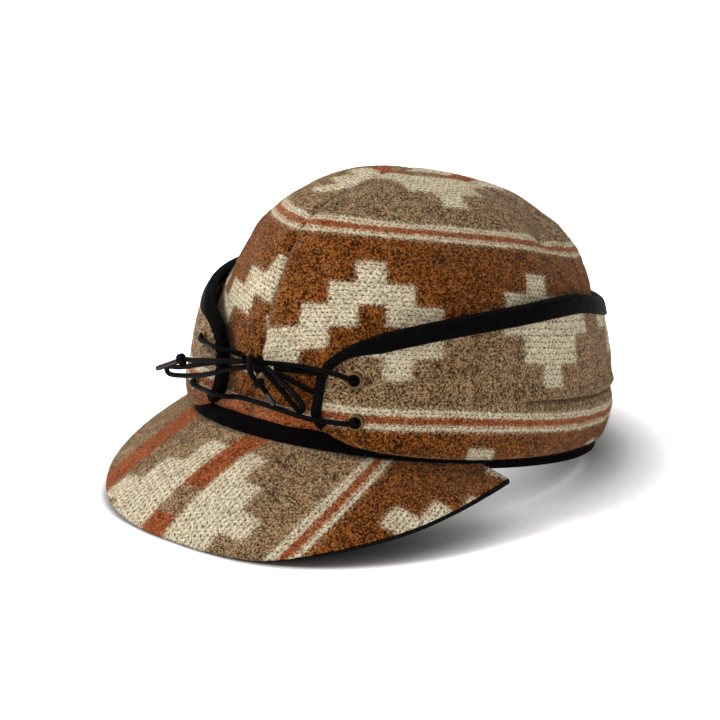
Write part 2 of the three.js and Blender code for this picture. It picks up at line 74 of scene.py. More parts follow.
# %% [markdown]
# ## From the maker's frame to the floor
# It is easiest to draw the cap level, with its rim at height 0 and the visor towards -Y.
# On the floor the cap leans back until its visor and the back of its rim touch, so each finished
# point is tilted and lifted.
# An azimuth runs from the front (0) past the wearer's left (90) to the back (180).

# %% Level cap to floor
REST_TILT = math.radians(10.37)
REST_FORWARD = 18.13
REST_HEIGHT = 18.9
MILLIMETRE = 0.001


def on_floor(points):
    points = np.asarray(points, float)
    sine, cosine = math.sin(REST_TILT), math.cos(REST_TILT)
    x, y, z = points[..., 0], points[..., 1], points[..., 2]
    rested = np.stack([x, y * cosine + z * sine + REST_FORWARD, z * cosine - y * sine + REST_HEIGHT], -1)
    return rested * MILLIMETRE


def ease(start, end, value):
    """From 0 at `start` to 1 at `end`, gently at both."""
    share = np.clip((np.asarray(value, float) - start) / (end - start), 0, 1)
    return share * share * (3 - 2 * share)


def hump(middle, reach, value):
    """1 at the middle, fading to nothing about two reaches away."""
    return np.exp(-((np.asarray(value, float) - middle) / reach) ** 2)


# %% [markdown]
# ## The head shape
# The crown is an oval at each height, given by one row of a short table: its height, half its width,
# half its length, where its centre lies, and how square its corners are. A smooth curve joins the rows.

# %% Crown outline
CROWN_ROWS = np.array([
    (0.3, 85.6, 103, -2.2, 2.08), (14, 85, 103.3, -2.3, 2.08), (30, 84.3, 102.6, -1.8, 2.06),
    (47, 82.6, 101, -1.4, 2.02), (64, 79, 98.2, -1.4, 1.93), (79, 74.2, 93.8, -1.2, 1.87),
    (91, 68.4, 88, -1.8, 1.82), (99.5, 61.4, 79.8, -2.6, 1.8), (106.5, 52.2, 68.2, -4, 1.85),
    (112.5, 43.4, 54.4, -6.2, 2), (117.3, 32.8, 39.4, -8.6, 2.15), (120.8, 19, 23.4, -11.2, 2.2),
    (122.6, 0.6, 0.9, -12.5, 2)])


def smooth_rows(rows, index):
    index = np.asarray(index, float)
    first = np.clip(np.floor(index).astype(int), 0, len(rows) - 2)
    t = (index - first)[..., None]
    a, b, c, d = [rows[np.clip(first + step, 0, len(rows) - 1)] for step in (-1, 0, 1, 2)]
    return b + 0.5 * t * (c - a + t * (2 * a - 5 * b + 4 * c - d + t * (3 * (b - c) + d - a)))


FINE_INDEX = np.linspace(0, len(CROWN_ROWS) - 1, 2401)
FINE_ROWS = smooth_rows(CROWN_ROWS, FINE_INDEX)


def oval(row, azimuth, off):
    """Points round the oval of a row of the table, `off` millimetres outside it."""
    across, along = np.sin(np.radians(azimuth)), np.cos(np.radians(azimuth))
    wide = (np.abs(across) / (row[..., 1] + off)) ** row[..., 4]
    long = (np.abs(along) / (row[..., 2] + off)) ** row[..., 4]
    radius = (wide + long) ** (-1 / row[..., 4])
    return np.stack([radius * across, row[..., 3] - radius * along, row[..., 0] + 0 * radius], -1)


def on_cap(azimuth, height, off):
    azimuth, height, off = np.broadcast_arrays(azimuth, np.asarray(height, float), off)
    columns = [np.interp(height, FINE_ROWS[:, 0], FINE_ROWS[:, k]) for k in range(1, 5)]
    return oval(np.stack([height, *columns], -1), azimuth, off)


print("head length at the rim", 2 * CROWN_ROWS[0][2], "mm, width", 2 * CROWN_ROWS[0][1], "mm")

# %% [markdown]
# ## Tools for meshes
# A piece of cloth is a skin with two faces: a grid of points outside and one inside, joined round the edge.
# Each point also carries its place on the flat cloth, in millimetres, so that the woven figures follow
# the cloth and not the room. A cord is a tube that is swept along a smooth line.

# %% Lines
def unit(vectors):
    vectors = np.asarray(vectors, float)
    return vectors / np.linalg.norm(vectors, axis=-1, keepdims=True)


def walk(line):
    """How far along a line each of its points lies."""
    return np.concatenate([[0], np.cumsum(np.linalg.norm(np.diff(line, axis=0), axis=1))])


def points_at(line, walked, stops):
    return np.stack([np.interp(stops, walked, line[:, k]) for k in range(line.shape[1])], -1)


def line_length(line):
    return float(np.linalg.norm(np.diff(line, axis=0), axis=1).sum())


def smooth_line(points, step=0.8):
    """A smooth line through the points, with a point every `step` millimetres."""
    points = np.asarray(points, float)
    ends = np.vstack([2 * points[0] - points[1], points, 2 * points[-1] - points[-2]])
    knots = np.concatenate([[0], np.cumsum(np.linalg.norm(np.diff(ends, axis=0), axis=1) ** 0.5)])
    line = []
    for k in range(1, len(ends) - 2):
        p0, p1, p2, p3 = ends[k - 1:k + 3]
        t0, t1, t2, t3 = knots[k - 1:k + 3]
        for t in np.linspace(t1, t2, 24, endpoint=False):
            a1 = (t1 - t) / (t1 - t0) * p0 + (t - t0) / (t1 - t0) * p1
            a2 = (t2 - t) / (t2 - t1) * p1 + (t - t1) / (t2 - t1) * p2
            a3 = (t3 - t) / (t3 - t2) * p2 + (t - t2) / (t3 - t2) * p3
            b1 = (t2 - t) / (t2 - t0) * a1 + (t - t0) / (t2 - t0) * a2
            b2 = (t3 - t) / (t3 - t1) * a2 + (t - t1) / (t3 - t1) * a3
            line.append((t2 - t) / (t2 - t1) * b1 + (t - t1) / (t2 - t1) * b2)
    line.append(ends[-2])
    line = np.array(line)
    walked = walk(line)
    return points_at(line, walked, np.linspace(0, walked[-1], max(2, int(round(walked[-1] / step)) + 1)))


def eased(line, times):
    """The line with its tight turns rounded, as a springy cord rounds them. Its ends stay."""
    line = line.copy()
    for _ in range(times):
        line[1:-1] = (line[:-2] + 2 * line[1:-1] + line[2:]) / 4
    return line


# %% Skin and tube
CLOTH_MAP = "Cloth"


def read_all(items, name, wide, kind=float):
    """One value of every item of a mesh, as rows of numbers."""
    values = np.zeros(len(items) * wide, kind)
    items.foreach_get(name, values)
    return values.reshape(-1, wide)


def make_object(name, points, faces, flat=None, smooth=True):
    mesh = bpy.data.meshes.new(name)
    mesh.from_pydata(points.tolist(), [], faces)
    if flat is not None:
        layer = mesh.uv_layers.new(name=CLOTH_MAP)
        corners = read_all(mesh.loops, "vertex_index", 1, int).ravel()
        layer.data.foreach_set("uv", np.asarray(flat, float)[corners].ravel())
    mesh.polygons.foreach_set("use_smooth", [smooth] * len(mesh.polygons))
    thing = bpy.data.objects.new(name, mesh)
    bpy.context.scene.collection.objects.link(thing)
    return thing


def grid_faces(columns, rows, start=0, ring=False, flip=False):
    faces = []
    for c in range(columns if ring else columns - 1):
        for r in range(rows - 1):
            a, b = start + c * rows + r, start + (c + 1) % columns * rows + r
            face = (a, b, b + 1, a + 1)
            faces.append(face[::-1] if flip else face)
    return faces


def skin(name, outside, inside, flat, ring=False, punched=None):
    """Two faces of cloth with their edges joined. `punched` marks the points that a punch has cut away."""
    columns, rows = outside.shape[:2]
    count = columns * rows
    faces = grid_faces(columns, rows, 0, ring) + grid_faces(columns, rows, count, ring, True)
    if punched is not None:
        cut = np.concatenate([punched.ravel()] * 2)
        faces = [face for face in faces if not cut[list(face)].any()]
    for c in range(columns if ring else columns - 1):
        a, b = c * rows, (c + 1) % columns * rows
        top = rows - 1
        faces.append((a + count, b + count, b, a))
        faces.append((a + top, b + top, b + top + count, a + top + count))
    if not ring:
        last = (columns - 1) * rows
        for r in range(rows - 1):
            faces.append((r, r + 1, r + 1 + count, r + count))
            faces.append((last + r + 1, last + r, last + r + count, last + r + 1 + count))
    points = on_floor(np.concatenate([outside.reshape(-1, 3), inside.reshape(-1, 3)]))
    both = np.concatenate([flat.reshape(-1, 2)] * 2)
    return make_object(name, points, faces, both)


def tube(name, line, radius, sides=14):
    """A round cord along a line. `radius` is one number, or one for each point of the line."""
    line = np.asarray(line, float)
    radius = np.broadcast_to(np.asarray(radius, float), len(line))
    ahead = unit(np.gradient(line, axis=0))
    side = np.cross(ahead[0], (0.3, 0.1, 1.0))
    angles = np.linspace(0, 2 * math.pi, sides, endpoint=False)
    rings = []
    for point, direction, size in zip(line, ahead, radius):
        side = unit(side - direction * (side @ direction))
        other = np.cross(direction, side)
        rings.append(point + size * (np.cos(angles)[:, None] * side + np.sin(angles)[:, None] * other))
    walked = walk(line)
    flat = np.stack(np.meshgrid(walked, np.linspace(0, 1, sides, endpoint=False), indexing="ij"), -1)
    points = np.concatenate([np.array(rings).reshape(-1, 3), line[:1], line[-1:]])
    flat = np.concatenate([flat.reshape(-1, 2), [[0, 0]], [[walked[-1], 0]]])
    faces = []
    for k in range(len(line) - 1):
        for s in range(sides):
            a, b = k * sides + s, k * sides + (s + 1) % sides
            faces.append((a, b, b + sides, a + sides))
    first, last = len(line) * sides, len(line) * sides + 1
    start = (len(line) - 1) * sides
    for s in range(sides):
        faces.append((first, (s + 1) % sides, s))
        faces.append((last, start + s, start + (s + 1) % sides))
    return make_object(name, on_floor(points), faces, flat)


def joined(name, parts):
    """One object from several that touch or cross, such as the turns of a knot."""
    points, faces, flats, start = [], [], [], 0
    for part in parts:
        mesh = part.data
        points.append(read_all(mesh.vertices, "co", 3))
        faces += [tuple(start + v for v in face.vertices) for face in mesh.polygons]
        flat = np.zeros((len(mesh.vertices), 2))
        corners = read_all(mesh.loops, "vertex_index", 1, int).ravel()
        flat[corners] = read_all(mesh.uv_layers[CLOTH_MAP].data, "uv", 2)
        flats.append(flat)
        start += len(mesh.vertices)
        bpy.data.objects.remove(part)
    return make_object(name, np.concatenate(points), faces, np.concatenate(flats))


# %% [markdown]
# ## The earband's surface
# The earband is a padded flap that stands a little off the crown. Its lower and upper edges come from a
# table, its padding swells most near the lower edge, and a tuck runs round the back. On the wearer's
# right the front end is pulled towards the middle and stands off more, as the tied lace pulls unevenly.

# %% Earband surface
EARBAND_ROWS = np.array([
    (19, 17.5, 34), (19.7, 14.8, 38), (21.2, 12.4, 42), (24, 9.6, 46.8), (28, 7, 51.2), (33, 5.2, 55),
    (40, 4, 59), (50, 3.6, 63.4), (62, 3.6, 67.4), (76, 3.8, 70.8), (92, 4.2, 73.8), (108, 5, 74.6),
    (122, 5.6, 72.4), (142, 6, 69), (180, 6, 67.5)])
SWELL_ROWS = np.array([
    (0, 0), (0.09, 1.4), (0.21, 2.6), (0.33, 2.3), (0.37, 2.1), (0.43, 1.7), (0.6, 0.8), (0.82, 0.3),
    (1, 0)])
EARBAND_STAND_OFF = 2.2
EARBAND_EDGE = 2.2
TUCK_HEIGHT = 31
LACE_AZIMUTH = 28.9
LACE_TUNNEL = 1.3
FLARE = {1: 0.8, -1: 4.6}
RIGHT_PULL = 10
RIGHT_LIFT = 3.5
SIDES = {"left": 1, "right": -1}


def from_rows(rows, value):
    """The other columns of a table where its first column has this value."""
    fine = smooth_rows(rows, np.linspace(0, len(rows) - 1, 80 * len(rows)))
    climbing = np.maximum.accumulate(fine[:, 0])
    return [np.interp(value, climbing, fine[:, k]) for k in range(1, rows.shape[1])]


def earband_inner(azimuth, height, side):
    """How far the band's inner face stands off the crown: more over the lace and at its flared end."""
    tunnel = LACE_TUNNEL * hump(LACE_AZIMUTH, 6, azimuth)
    higher = ease(20, 44, height) - 0.3 * ease(44, 76, height)
    flare = FLARE[side] * higher * (1 - ease(25, 75, azimuth))
    return EARBAND_STAND_OFF + tunnel + flare


def earband_padding(azimuth, height):
    bottom, top = from_rows(EARBAND_ROWS, azimuth)
    up = np.clip((height - bottom) / (top - bottom), 0, 1)
    swell = from_rows(SWELL_ROWS, up)[0] * ease(20, 46, azimuth)
    return EARBAND_EDGE + swell


def earband_outer(azimuth, height, side):
    return earband_inner(azimuth, height, side) + earband_padding(azimuth, height)


def on_side(side, azimuth, height, off):
    share = (ease(0, 19, azimuth) * (1 - ease(20, 90, azimuth))) if side < 0 else 0.0
    lift = RIGHT_LIFT * (ease(12, 36, height) - 0.8 * ease(38, 66, height))
    point = on_cap(azimuth - RIGHT_PULL * share, height + lift * share, off)
    point[..., 0] *= side
    return point


# %% [markdown]
# ## The lace
# One waxed cotton cord runs behind the earband ends, out through four eyelets and into a bow in front.
# The cord comes early, because its free ends are the only parts that could lie anywhere.
# Each stretch is a tube along a smooth line. A row of the laced stretch is an azimuth, a height, whether the
# cord lies over the earband (1) or behind it (0), and how far it stands off the face below it.

# %% Laced stretch
CORD = 2.4
RIGHT_UPPER_HEIGHT = 34.8
LACED_HALF = [
    (3, 35, 0, 4.6), (9, 36.2, 0, 3.2), (15, 37.2, 0, 5), (19.5, 37.6, 1, 3.3), (23, 37.2, 1, 3.2),
    (26.4, 36, 1, 3.1), (28, 35, 1, 1.5), (28, 34.8, 0, 4), (28.1, 32.6, 0, 1.75), (28.7, 26, 0, 1.65),
    (29.6, 19.8, 0, 1.75), (29.8, 17, 0, 2.9), (29.8, 16.9, 1, 1.8), (28.2, 16.5, 1, 3.4), (24, 16, 1, 3),
    (19.7, 15.8, 1, 3.3), (15, 15.9, 0, 5), (10, 16.3, 0, 2.6), (4, 16.8, 0, 2.1)]


def laced_points(side):
    points = []
    for azimuth, height, over, off in LACED_HALF:
        if side < 0 and height > 35:
            height = RIGHT_UPPER_HEIGHT - 1.5 * hump(16, 8, azimuth)
        face = earband_outer(azimuth, height, side) if over else 0
        points.append(on_side(side, azimuth, height, face + off).ravel())
    return points


laced_line = smooth_line(laced_points(1) + laced_points(-1)[::-1])
laced = tube("lace_run", laced_line, CORD / 2)
print("laced stretch", round(line_length(laced_line)), "mm")

# %% [markdown]
# ## Bow loops and free ends
# Two loops and two free ends leave the knot of the bow. One more strand slips behind the end of the earband.
# A loop turns back at its tip in a hairpin, which is as tight as so thin a cord can lie.

# %% Bow loops and free ends
TIP_RADIUS = 1.9


def hairpin(middle, ahead, across):
    """Five places round the tip of a loop, where the cord turns back beside itself."""
    middle, ahead, across = (np.array(values, float) for values in (middle, ahead, across))
    return [tuple(middle + TIP_RADIUS * (math.sin(turn) * ahead - math.cos(turn) * across))
            for turn in np.radians((0, 45, 90, 135, 180))]


LOOP_LEFT = [
    (8, -109.3, 32.6), (14, -108.2, 28.6), (21.5, -106.6, 23.2),
    *hairpin((28.9, -104.4, 19.2), (0.77, 0.2, -0.6), (0.62, -0.04, 0.78)),
    (25.4, -106.6, 25.4), (16, -109, 31.2), (10, -109.6, 34)]
LOOP_RIGHT = [
    (1, -111, 34.6), (-11, -112.1, 32.2), (-26, -113, 28), (-38.8, -113.2, 24),
    *hairpin((-46.5, -112.4, 20.9), (-0.96, 0.1, -0.26), (0.28, 0.3, -0.91)),
    (-36.9, -111.4, 20.4), (-22.6, -112.4, 24), (-9.6, -112, 28.8), (0, -111, 32)]
TAIL_RIGHT = [
    (0.5, -113.2, 34.8), (-11, -116.2, 32.6), (-21, -117.2, 30.9), (-28, -117.2, 29.6), (-33, -116.6, 29),
    (-37.4, -116.8, 27.2), (-48, -118.6, 21.8)]
TAIL_LEFT = [
    (2.2, -110.6, 37.2), (5.8, -115.6, 37.4), (9.2, -118.6, 33), (11.2, -116.8, 28.9), (12.2, -113.4, 26.2),
    (14.4, -111.2, 22.8), (18, -109.6, 18.4)]
bow_lines = {
    "bow_loop_left": eased(smooth_line(LOOP_LEFT), 4),
    "bow_loop_right": eased(smooth_line(LOOP_RIGHT), 4),
    "free_end_right": smooth_line(TAIL_RIGHT),
    "free_end_left": smooth_line(TAIL_LEFT),
}
bow = {name: tube(name, line, CORD / 2) for name, line in bow_lines.items()}

TUCKED = [
    (7, 33.8, 3.6), (12, 34.4, 2.6), (16, 34.8, 1.9), (19.5, 34.4, 1.3), (22.4, 33, 1.3), (23.6, 30.4, 1.3),
    (22.8, 27.6, 1.3), (20, 26.4, 1.4), (16, 27.4, 1.9), (11.5, 30, 2.6), (7.4, 32.4, 3.6)]
tucked = tube("bow_loop_tucked", smooth_line([on_side(1, *spot).ravel() for spot in TUCKED]), CORD / 2)
for name, line in bow_lines.items():
    print(name, round(line_length(line), 1), "mm")

# %% [markdown]
# ## Knots
# The bow is held by a turn of cord that is pulled tight round the crossing strands. Each free end has an
# overhand knot that keeps its tip from fraying back. A knot looks right when its turns can be seen, so each
# one is a short tube that winds round the strands, over a small core that fills the space between them.

# %% Knots
BOW_KNOT = np.array((5.2, -109.4, 34.4))


def wound(centre, axis, across, deep, turns, pitch, start=0.0):
    """A line that winds round an axis: `across` and `deep` are its radii, `pitch` its advance in a turn."""
    axis = unit(axis)
    side = unit(np.cross(axis, (0, 1, 0.2)))
    out = np.cross(axis, side)
    angle = start + np.linspace(0, 2 * math.pi * turns, int(26 * turns))
    climb = (angle - angle.mean()) / (2 * math.pi) * pitch
    spiral = np.cos(angle)[:, None] * across * side + np.sin(angle)[:, None] * deep * out
    return np.asarray(centre) + climb[:, None] * axis + spiral


def core(centre, half_length, radius, detail=24):
    """A lying egg that fills a knot."""
    line = np.asarray(centre) + np.linspace(-1, 1, detail)[:, None] * np.array((half_length, 0, 0))
    rounded = np.sqrt(np.clip(1 - np.linspace(-0.995, 0.995, detail) ** 2, 0.01, 1))
    return tube("core", line, rounded * radius)


over_knot = BOW_KNOT + np.array([(-3.4, -1.4, 2.2), (0.4, -3.2, 0.6), (3.6, -1.2, -1.4)])
bow_knot = joined("bow_knot", [
    tube("turn", wound(BOW_KNOT, (1, 0, -0.25), 3.0, 2.2, 1.6, 2.3, 1.0), CORD / 2),
    tube("turn", smooth_line(over_knot, 0.5), CORD / 2),
    core(BOW_KNOT, 4.4, 2.9),
])

END_KNOTS = {
    "right": ((-35.2, -116.4, 28.5), (-1, -0.1, -0.45)),
    "left": ((11.8, -114.4, 27.2), (0.4, 0.5, -0.9)),
}
end_knots = {}
for side_name, (centre, axis) in END_KNOTS.items():
    turns = tube("turn", wound(centre, axis, 1.7, 1.5, 1.7, 1.5), 1.15)
    end_knots[side_name] = joined(f"end_knot_{side_name}", [turns, core(centre, 2.2, 1.6)])
print("knots", [bow_knot.name] + [knot.name for knot in end_knots.values()])

# %% [markdown]
# ## Tips of the lace
# A lace tip is a short sleeve of clear film, rolled tightly round the cord. It has a small lip where it
# starts and a crimped waist, and it is rounded at its far end.

# %% Lace tips
TIP_SLEEVE = 1.28
TIP_LONGER = 1.06
share = np.linspace(0, TIP_LONGER, 22)
waist = 0.1 * hump(0.5, 0.12, share)
point = 0.9 * ease(0.97, TIP_LONGER, share) ** 2
lip = 0.08 * hump(0.02, 0.03, share)
aglets = {}
for side_name, tail in (("right", TAIL_RIGHT), ("left", TAIL_LEFT)):
    first, last = np.array(tail[-2:])
    line = first + share[:, None] * (last - first)
    aglets[side_name] = tube(f"lace_tip_{side_name}", line, TIP_SLEEVE - waist - point + lip, 18)
print("lace tips", len(aglets))

# %% [markdown]
# ## The woven cloth
# The cloth is a blanket wool in two grounds, rust and taupe. A triple stripe of cream, orange and cream
# parts them, and stepped figures stand on both sides of it. All of it repeats along the cloth, so a few
# sizes are enough to chart it: the width and height of one step, the repeat, and where the figures start.
# The chart is a shader node group that turns a place on the cloth into masks for the yarn colours.
# A formula for a shader is written like any other here: a Wire adds one math node for each operation.

# %% Node helpers
FLOAT, COLOUR, VECTOR = "NodeSocketFloat", "NodeSocketColor", "NodeSocketVector"
BLACK = (0, 0, 0, 1)
WHITE = (1, 1, 1, 1)
STUDIO_SHARE = 0.72


class Wire:
    """A value on its way through a shader tree."""

    def __init__(self, tree, socket):
        self.tree = tree
        self.socket = socket

    def maths(self, operation, *values):
        node = self.tree.nodes.new("ShaderNodeMath")
        node.operation = operation
        for value, socket in zip((self, *values), node.inputs):
            join(value, socket)
        return Wire(self.tree, node.outputs[0])

    def __add__(self, other):
        return self.maths("ADD", other)

    def __sub__(self, other):
        return self.maths("SUBTRACT", other)

    def __rsub__(self, other):
        return self.maths("MULTIPLY", -1.0).maths("ADD", other)

    def __mul__(self, other):
        return self.maths("MULTIPLY", other)

    def __truediv__(self, other):
        return self.maths("DIVIDE", other)

    def __lt__(self, other):
        return self.maths("LESS_THAN", other)

    def __gt__(self, other):
        return self.maths("GREATER_THAN", other)

    def __abs__(self):
        return self.maths("ABSOLUTE")

    def clamped(self):
        return self.maths("MAXIMUM", 0.0).maths("MINIMUM", 1.0)


def join(value, socket):
    if isinstance(value, Wire):
        value.tree.links.new(value.socket, socket)
    else:
        socket.default_value = value


def add_node(tree, kind, values, output):
    """A node with its inputs joined, as the wire that leaves one of its outputs."""
    node = tree.nodes.new(kind)
    for label, value in values.items():
        join(value, node.inputs[label])
    return Wire(tree, node.outputs[output])


def blend_colour(tree, share, first, second):
    node = tree.nodes.new("ShaderNodeMix")
    node.data_type = "RGBA"
    for label, value in (("Factor", share), ("A", first), ("B", second)):
        join(value, node.inputs[label])
    return Wire(tree, node.outputs["Result"])


def noise(tree, vector, scale, detail=2.0, rough=0.5, distort=0.0, output="Fac"):
    return add_node(tree, "ShaderNodeTexNoise", {"Vector": vector, "Scale": scale, "Detail": detail,
                                                 "Roughness": rough, "Distortion": distort}, output)


def new_group(name, inputs, outputs):
    """A node group: its inputs have a first value (none for a vector), and its outputs a kind."""
    group = bpy.data.node_groups.new(name, "ShaderNodeTree")
    for label, value in inputs.items():
        kind = VECTOR if value is None else FLOAT if isinstance(value, float) else COLOUR
        socket = group.interface.new_socket(label, in_out="INPUT", socket_type=kind)
        if value is not None:
            socket.default_value = value
    for label, kind in outputs.items():
        group.interface.new_socket(label, in_out="OUTPUT", socket_type=kind)
    source = group.nodes.new("NodeGroupInput")
    given = {label: Wire(group, source.outputs[label]) for label in inputs}
    return group, given, group.nodes.new("NodeGroupOutput").inputs


def placed_group(tree, group, values):
    """A group at work in a material: its inputs are joined, and its outputs come back as wires."""
    node = tree.nodes.new("ShaderNodeGroup")
    node.node_tree = group
    for label, value in values.items():
        join(value, node.inputs[label])
    return {socket.name: Wire(tree, socket) for socket in node.outputs}


def tint(red, green, blue):
    """A colour given as 0 to 255, in linear numbers, for a studio brighter than plain white."""
    parts = [((c / 255 + 0.055) / 1.055) ** 2.4 if c > 10 else c / 255 / 12.92 for c in (red, green, blue)]
    return tuple(STUDIO_SHARE * part for part in parts) + (1,)


# %% Chart of the blanket
STEP_WIDTH = 13.0
STEP_HEIGHT = 9.6
REPEAT = 84.0
BAR_HEIGHT = 10.0
STRIPE_HALF = 4.7
THREAD_HALF = 1.8
THREAD_BELOW = 0.4
SINGLE_AWAY = 42.8
SINGLE_HALF = 7.0


def chart_group():
    group, given, result = new_group(
        "Blanket chart",
        {"Along": 0.0, "Up": 0.0, "Rust axis": 0.0, "Rust start": 13.0, "Taupe axis": 42.0,
         "Taupe start": 15.5, "Bar axis": 42.0},
        {"Cream": FLOAT, "Orange": FLOAT, "Taupe": FLOAT})
    along, up = given["Along"], given["Up"]

    def from_axis(axis):
        return abs((along - given[axis]).maths("WRAP", REPEAT / 2, -REPEAT / 2))

    def stepped(level, axis, rows):
        """A figure that is one step narrower on each level, for as many levels as it has rows."""
        reach = level + from_axis(axis) / STEP_WIDTH
        return (reach - (rows + 0.5)).maths("MAXIMUM", level - (rows + 0.2)) < 0.0

    # Rust ground, below the stripe: a stepped figure with a rust one inside it
    from_middle = abs(up + (given["Rust start"] + 4.5 * STEP_HEIGHT))
    level = (from_middle / STEP_HEIGHT + 0.5).maths("FLOOR")
    rust_figure = stepped(level, "Rust axis", 4) - stepped(level, "Rust axis", 2)

    # Taupe ground, above the stripe: two stepped halves on a bar, and a single stripe further up
    taupe_middle = given["Taupe start"] + (3 * STEP_HEIGHT + BAR_HEIGHT / 2)
    off_bar = abs(up - taupe_middle) - BAR_HEIGHT / 2
    outside_bar = off_bar > 0.0
    taupe_figure = outside_bar * stepped((off_bar / STEP_HEIGHT).maths("FLOOR"), "Taupe axis", 2)
    bar = (1.0 - outside_bar) * (1.0 - (from_axis("Bar axis") < STEP_WIDTH * 0.6))
    single = abs(up - (taupe_middle + SINGLE_AWAY)) < SINGLE_HALF

    # The triple stripe between the grounds
    above = up > 0.0
    thread = abs(up + THREAD_BELOW) < THREAD_HALF
    figures = above * taupe_figure + (1.0 - above) * rust_figure
    join(((abs(up) < STRIPE_HALF) - thread).maths("MAXIMUM", figures), result["Cream"])
    join(thread.maths("MAXIMUM", above * bar.maths("MAXIMUM", single)), result["Orange"])
    join(above, result["Taupe"])
    return group


CHART = chart_group()
print("chart nodes", len(CHART.nodes))

# %% [markdown]
# ## Heathered yarn
# Each ground is spun from fibres of several colours, so a thread is never one flat brown. One group mixes
# four colours by small noises, as carding does: a body colour, a shade, a light one and rare bright flecks.
# It also gives a height for the soft nap that covers the weave.

# %% Heathered yarn
def yarn_group():
    group, given, result = new_group(
        "Heathered yarn",
        {"Vector": None, "Shade": BLACK, "Body": BLACK, "Light": BLACK, "Fleck": BLACK, "Flecks": 0.1},
        {"Color": COLOUR, "Height": FLOAT})
    place = given["Vector"]
    grain = noise(group, place, 1.0, 4.0, 0.82)
    patch = noise(group, place, 0.16)
    fibre = noise(group, place, 2.2, 1.0, 0.6, 1.5)
    swirl = noise(group, place, 1.1, output="Color")
    warped = group.nodes.new("ShaderNodeVectorMath")
    warped.operation = "MULTIPLY_ADD"
    for value, socket in zip((swirl, (1.6, 1.6, 1.6), place), warped.inputs):
        join(value, socket)
    cells = add_node(group, "ShaderNodeTexVoronoi", {"Vector": Wire(group, warped.outputs[0]), "Scale": 1.5},
                     "Color")
    parts = group.nodes.new("ShaderNodeSeparateColor")
    join(cells, parts.inputs["Color"])
    own, chance = Wire(group, parts.outputs[1]), Wire(group, parts.outputs[0])
    spread = grain + (own - 0.5) * 0.15 + (patch - 0.5) * 0.15
    dark = ((0.5 - spread).maths("MAXIMUM", 0.0) * 10.0).maths("SMOOTH_MIN", 1.0, 0.2)
    light = ((spread - 0.5).maths("MAXIMUM", 0.0) * 9.5).maths("SMOOTH_MIN", 1.0, 0.2)
    colour = blend_colour(group, dark, given["Body"], given["Shade"])
    colour = blend_colour(group, light, colour, given["Light"])
    colour = blend_colour(group, (chance < given["Flecks"]) * 0.75, colour, given["Fleck"])
    join(colour, result["Color"])
    join(grain * 0.7 + fibre * 0.5, result["Height"])
    return group


YARN = yarn_group()
print("yarn nodes", len(YARN.nodes))

# %% [markdown]
# ## Weave
# Where the cream yarn floats on top, the dark threads behind show between the rows as short dashes. Every
# second row is shifted by half a dash. The rows are drawn on the flat cloth, a little unevenly, and some
# dashes are left out where the nap covers them.

# %% Weave
ROW_PITCH = 1.95
DASH_PITCH = 2.6


def weave_group():
    group, given, result = new_group("Weave rows", {"Along": 0.0, "Up": 0.0, "Nap": 0.5},
                                     {"Dash": FLOAT, "Height": FLOAT})
    along, up = given["Along"], given["Up"]
    cloth = add_node(group, "ShaderNodeCombineXYZ", {"X": along, "Y": up}, 0)
    wander = (noise(group, cloth, 0.45, 3.0) - 0.5) * 3.4
    row = (up + wander * 0.5) / ROW_PITCH
    shift = row.maths("FLOOR").maths("MODULO", 2.0) * 0.5
    place = (along + wander) / DASH_PITCH + shift

    def middle_part(value, half, steep):
        """1 in the middle of each whole number's range, with soft sides."""
        return ((half - abs(value.maths("FRACT") - 0.5)) * steep).maths("SMOOTH_MAX", 0.0, 0.1)

    clear = (noise(group, cloth, 0.55, 2.0, 0.7) * 2.8 - given["Nap"]).clamped()
    dash = middle_part(row, 0.17, 9.0) * middle_part(place, 0.36, 6.0) * clear
    join(dash.maths("MINIMUM", 1.0), result["Dash"])
    ridge = (row * (2 * math.pi)).maths("COSINE")
    bead = (place * (2 * math.pi)).maths("COSINE")
    join((ridge + bead * 0.5) * -0.5, result["Height"])
    return group


WEAVE = weave_group()
print("weave nodes", len(WEAVE.nodes))

# %% [markdown]
# ## Wool material
# The chart chooses a ground for each spot, and the yarn group spins its colours. The edges of the woven
# figures are ragged, so the place on the cloth is nudged by a small noise before the chart reads it.
# Brushed fibres lie over the weave and carry its colours a little way, so a second, more ragged reading of
# the chart is laid over the first, more in some places than in others.
# Sheen is the pale bloom that loose fibres give a wool cloth where it is seen edge on.

# %% Wool material
YARN_INPUTS = ("Shade", "Body", "Light", "Fleck", "Flecks")
YARNS = {
    "rust": (tint(18, 7, 0), tint(84, 44, 11), tint(172, 110, 52), tint(190, 94, 32), 0.09),
    "taupe": (tint(30, 21, 12), tint(116, 90, 62), tint(196, 164, 124), tint(186, 136, 84), 0.08),
    "cream": (tint(160, 144, 114), tint(216, 200, 166), tint(250, 238, 208), tint(140, 116, 88), 0.05),
    "orange": (tint(64, 24, 6), tint(134, 62, 24), tint(180, 104, 54), tint(200, 94, 40), 0.12),
}
DASH_COLOUR = tint(40, 36, 32)
BLOOM = (1, 0.84, 0.7, 1)
CHART_LAYERS = ((0.5, 9.0, 7.0), (0.75, 20.0, 17.0))
NAP_HEIGHT = 0.0009


def new_material(name, roughness, sheen=0.0, sheen_roughness=0.5, sheen_tint=WHITE, coat=0.0,
                 metallic=0.0, specular=0.5, coat_roughness=0.2):
    material = bpy.data.materials.new(name)
    material.use_nodes = True
    tree = material.node_tree
    shader = tree.nodes["Principled BSDF"].inputs
    shader["Roughness"].default_value = roughness
    shader["Sheen Weight"].default_value = sheen
    shader["Sheen Roughness"].default_value = sheen_roughness
    shader["Sheen Tint"].default_value = sheen_tint
    shader["Coat Weight"].default_value = coat
    shader["Coat Roughness"].default_value = coat_roughness
    shader["Metallic"].default_value = metallic
    shader["Specular IOR Level"].default_value = specular
    return material, tree, shader


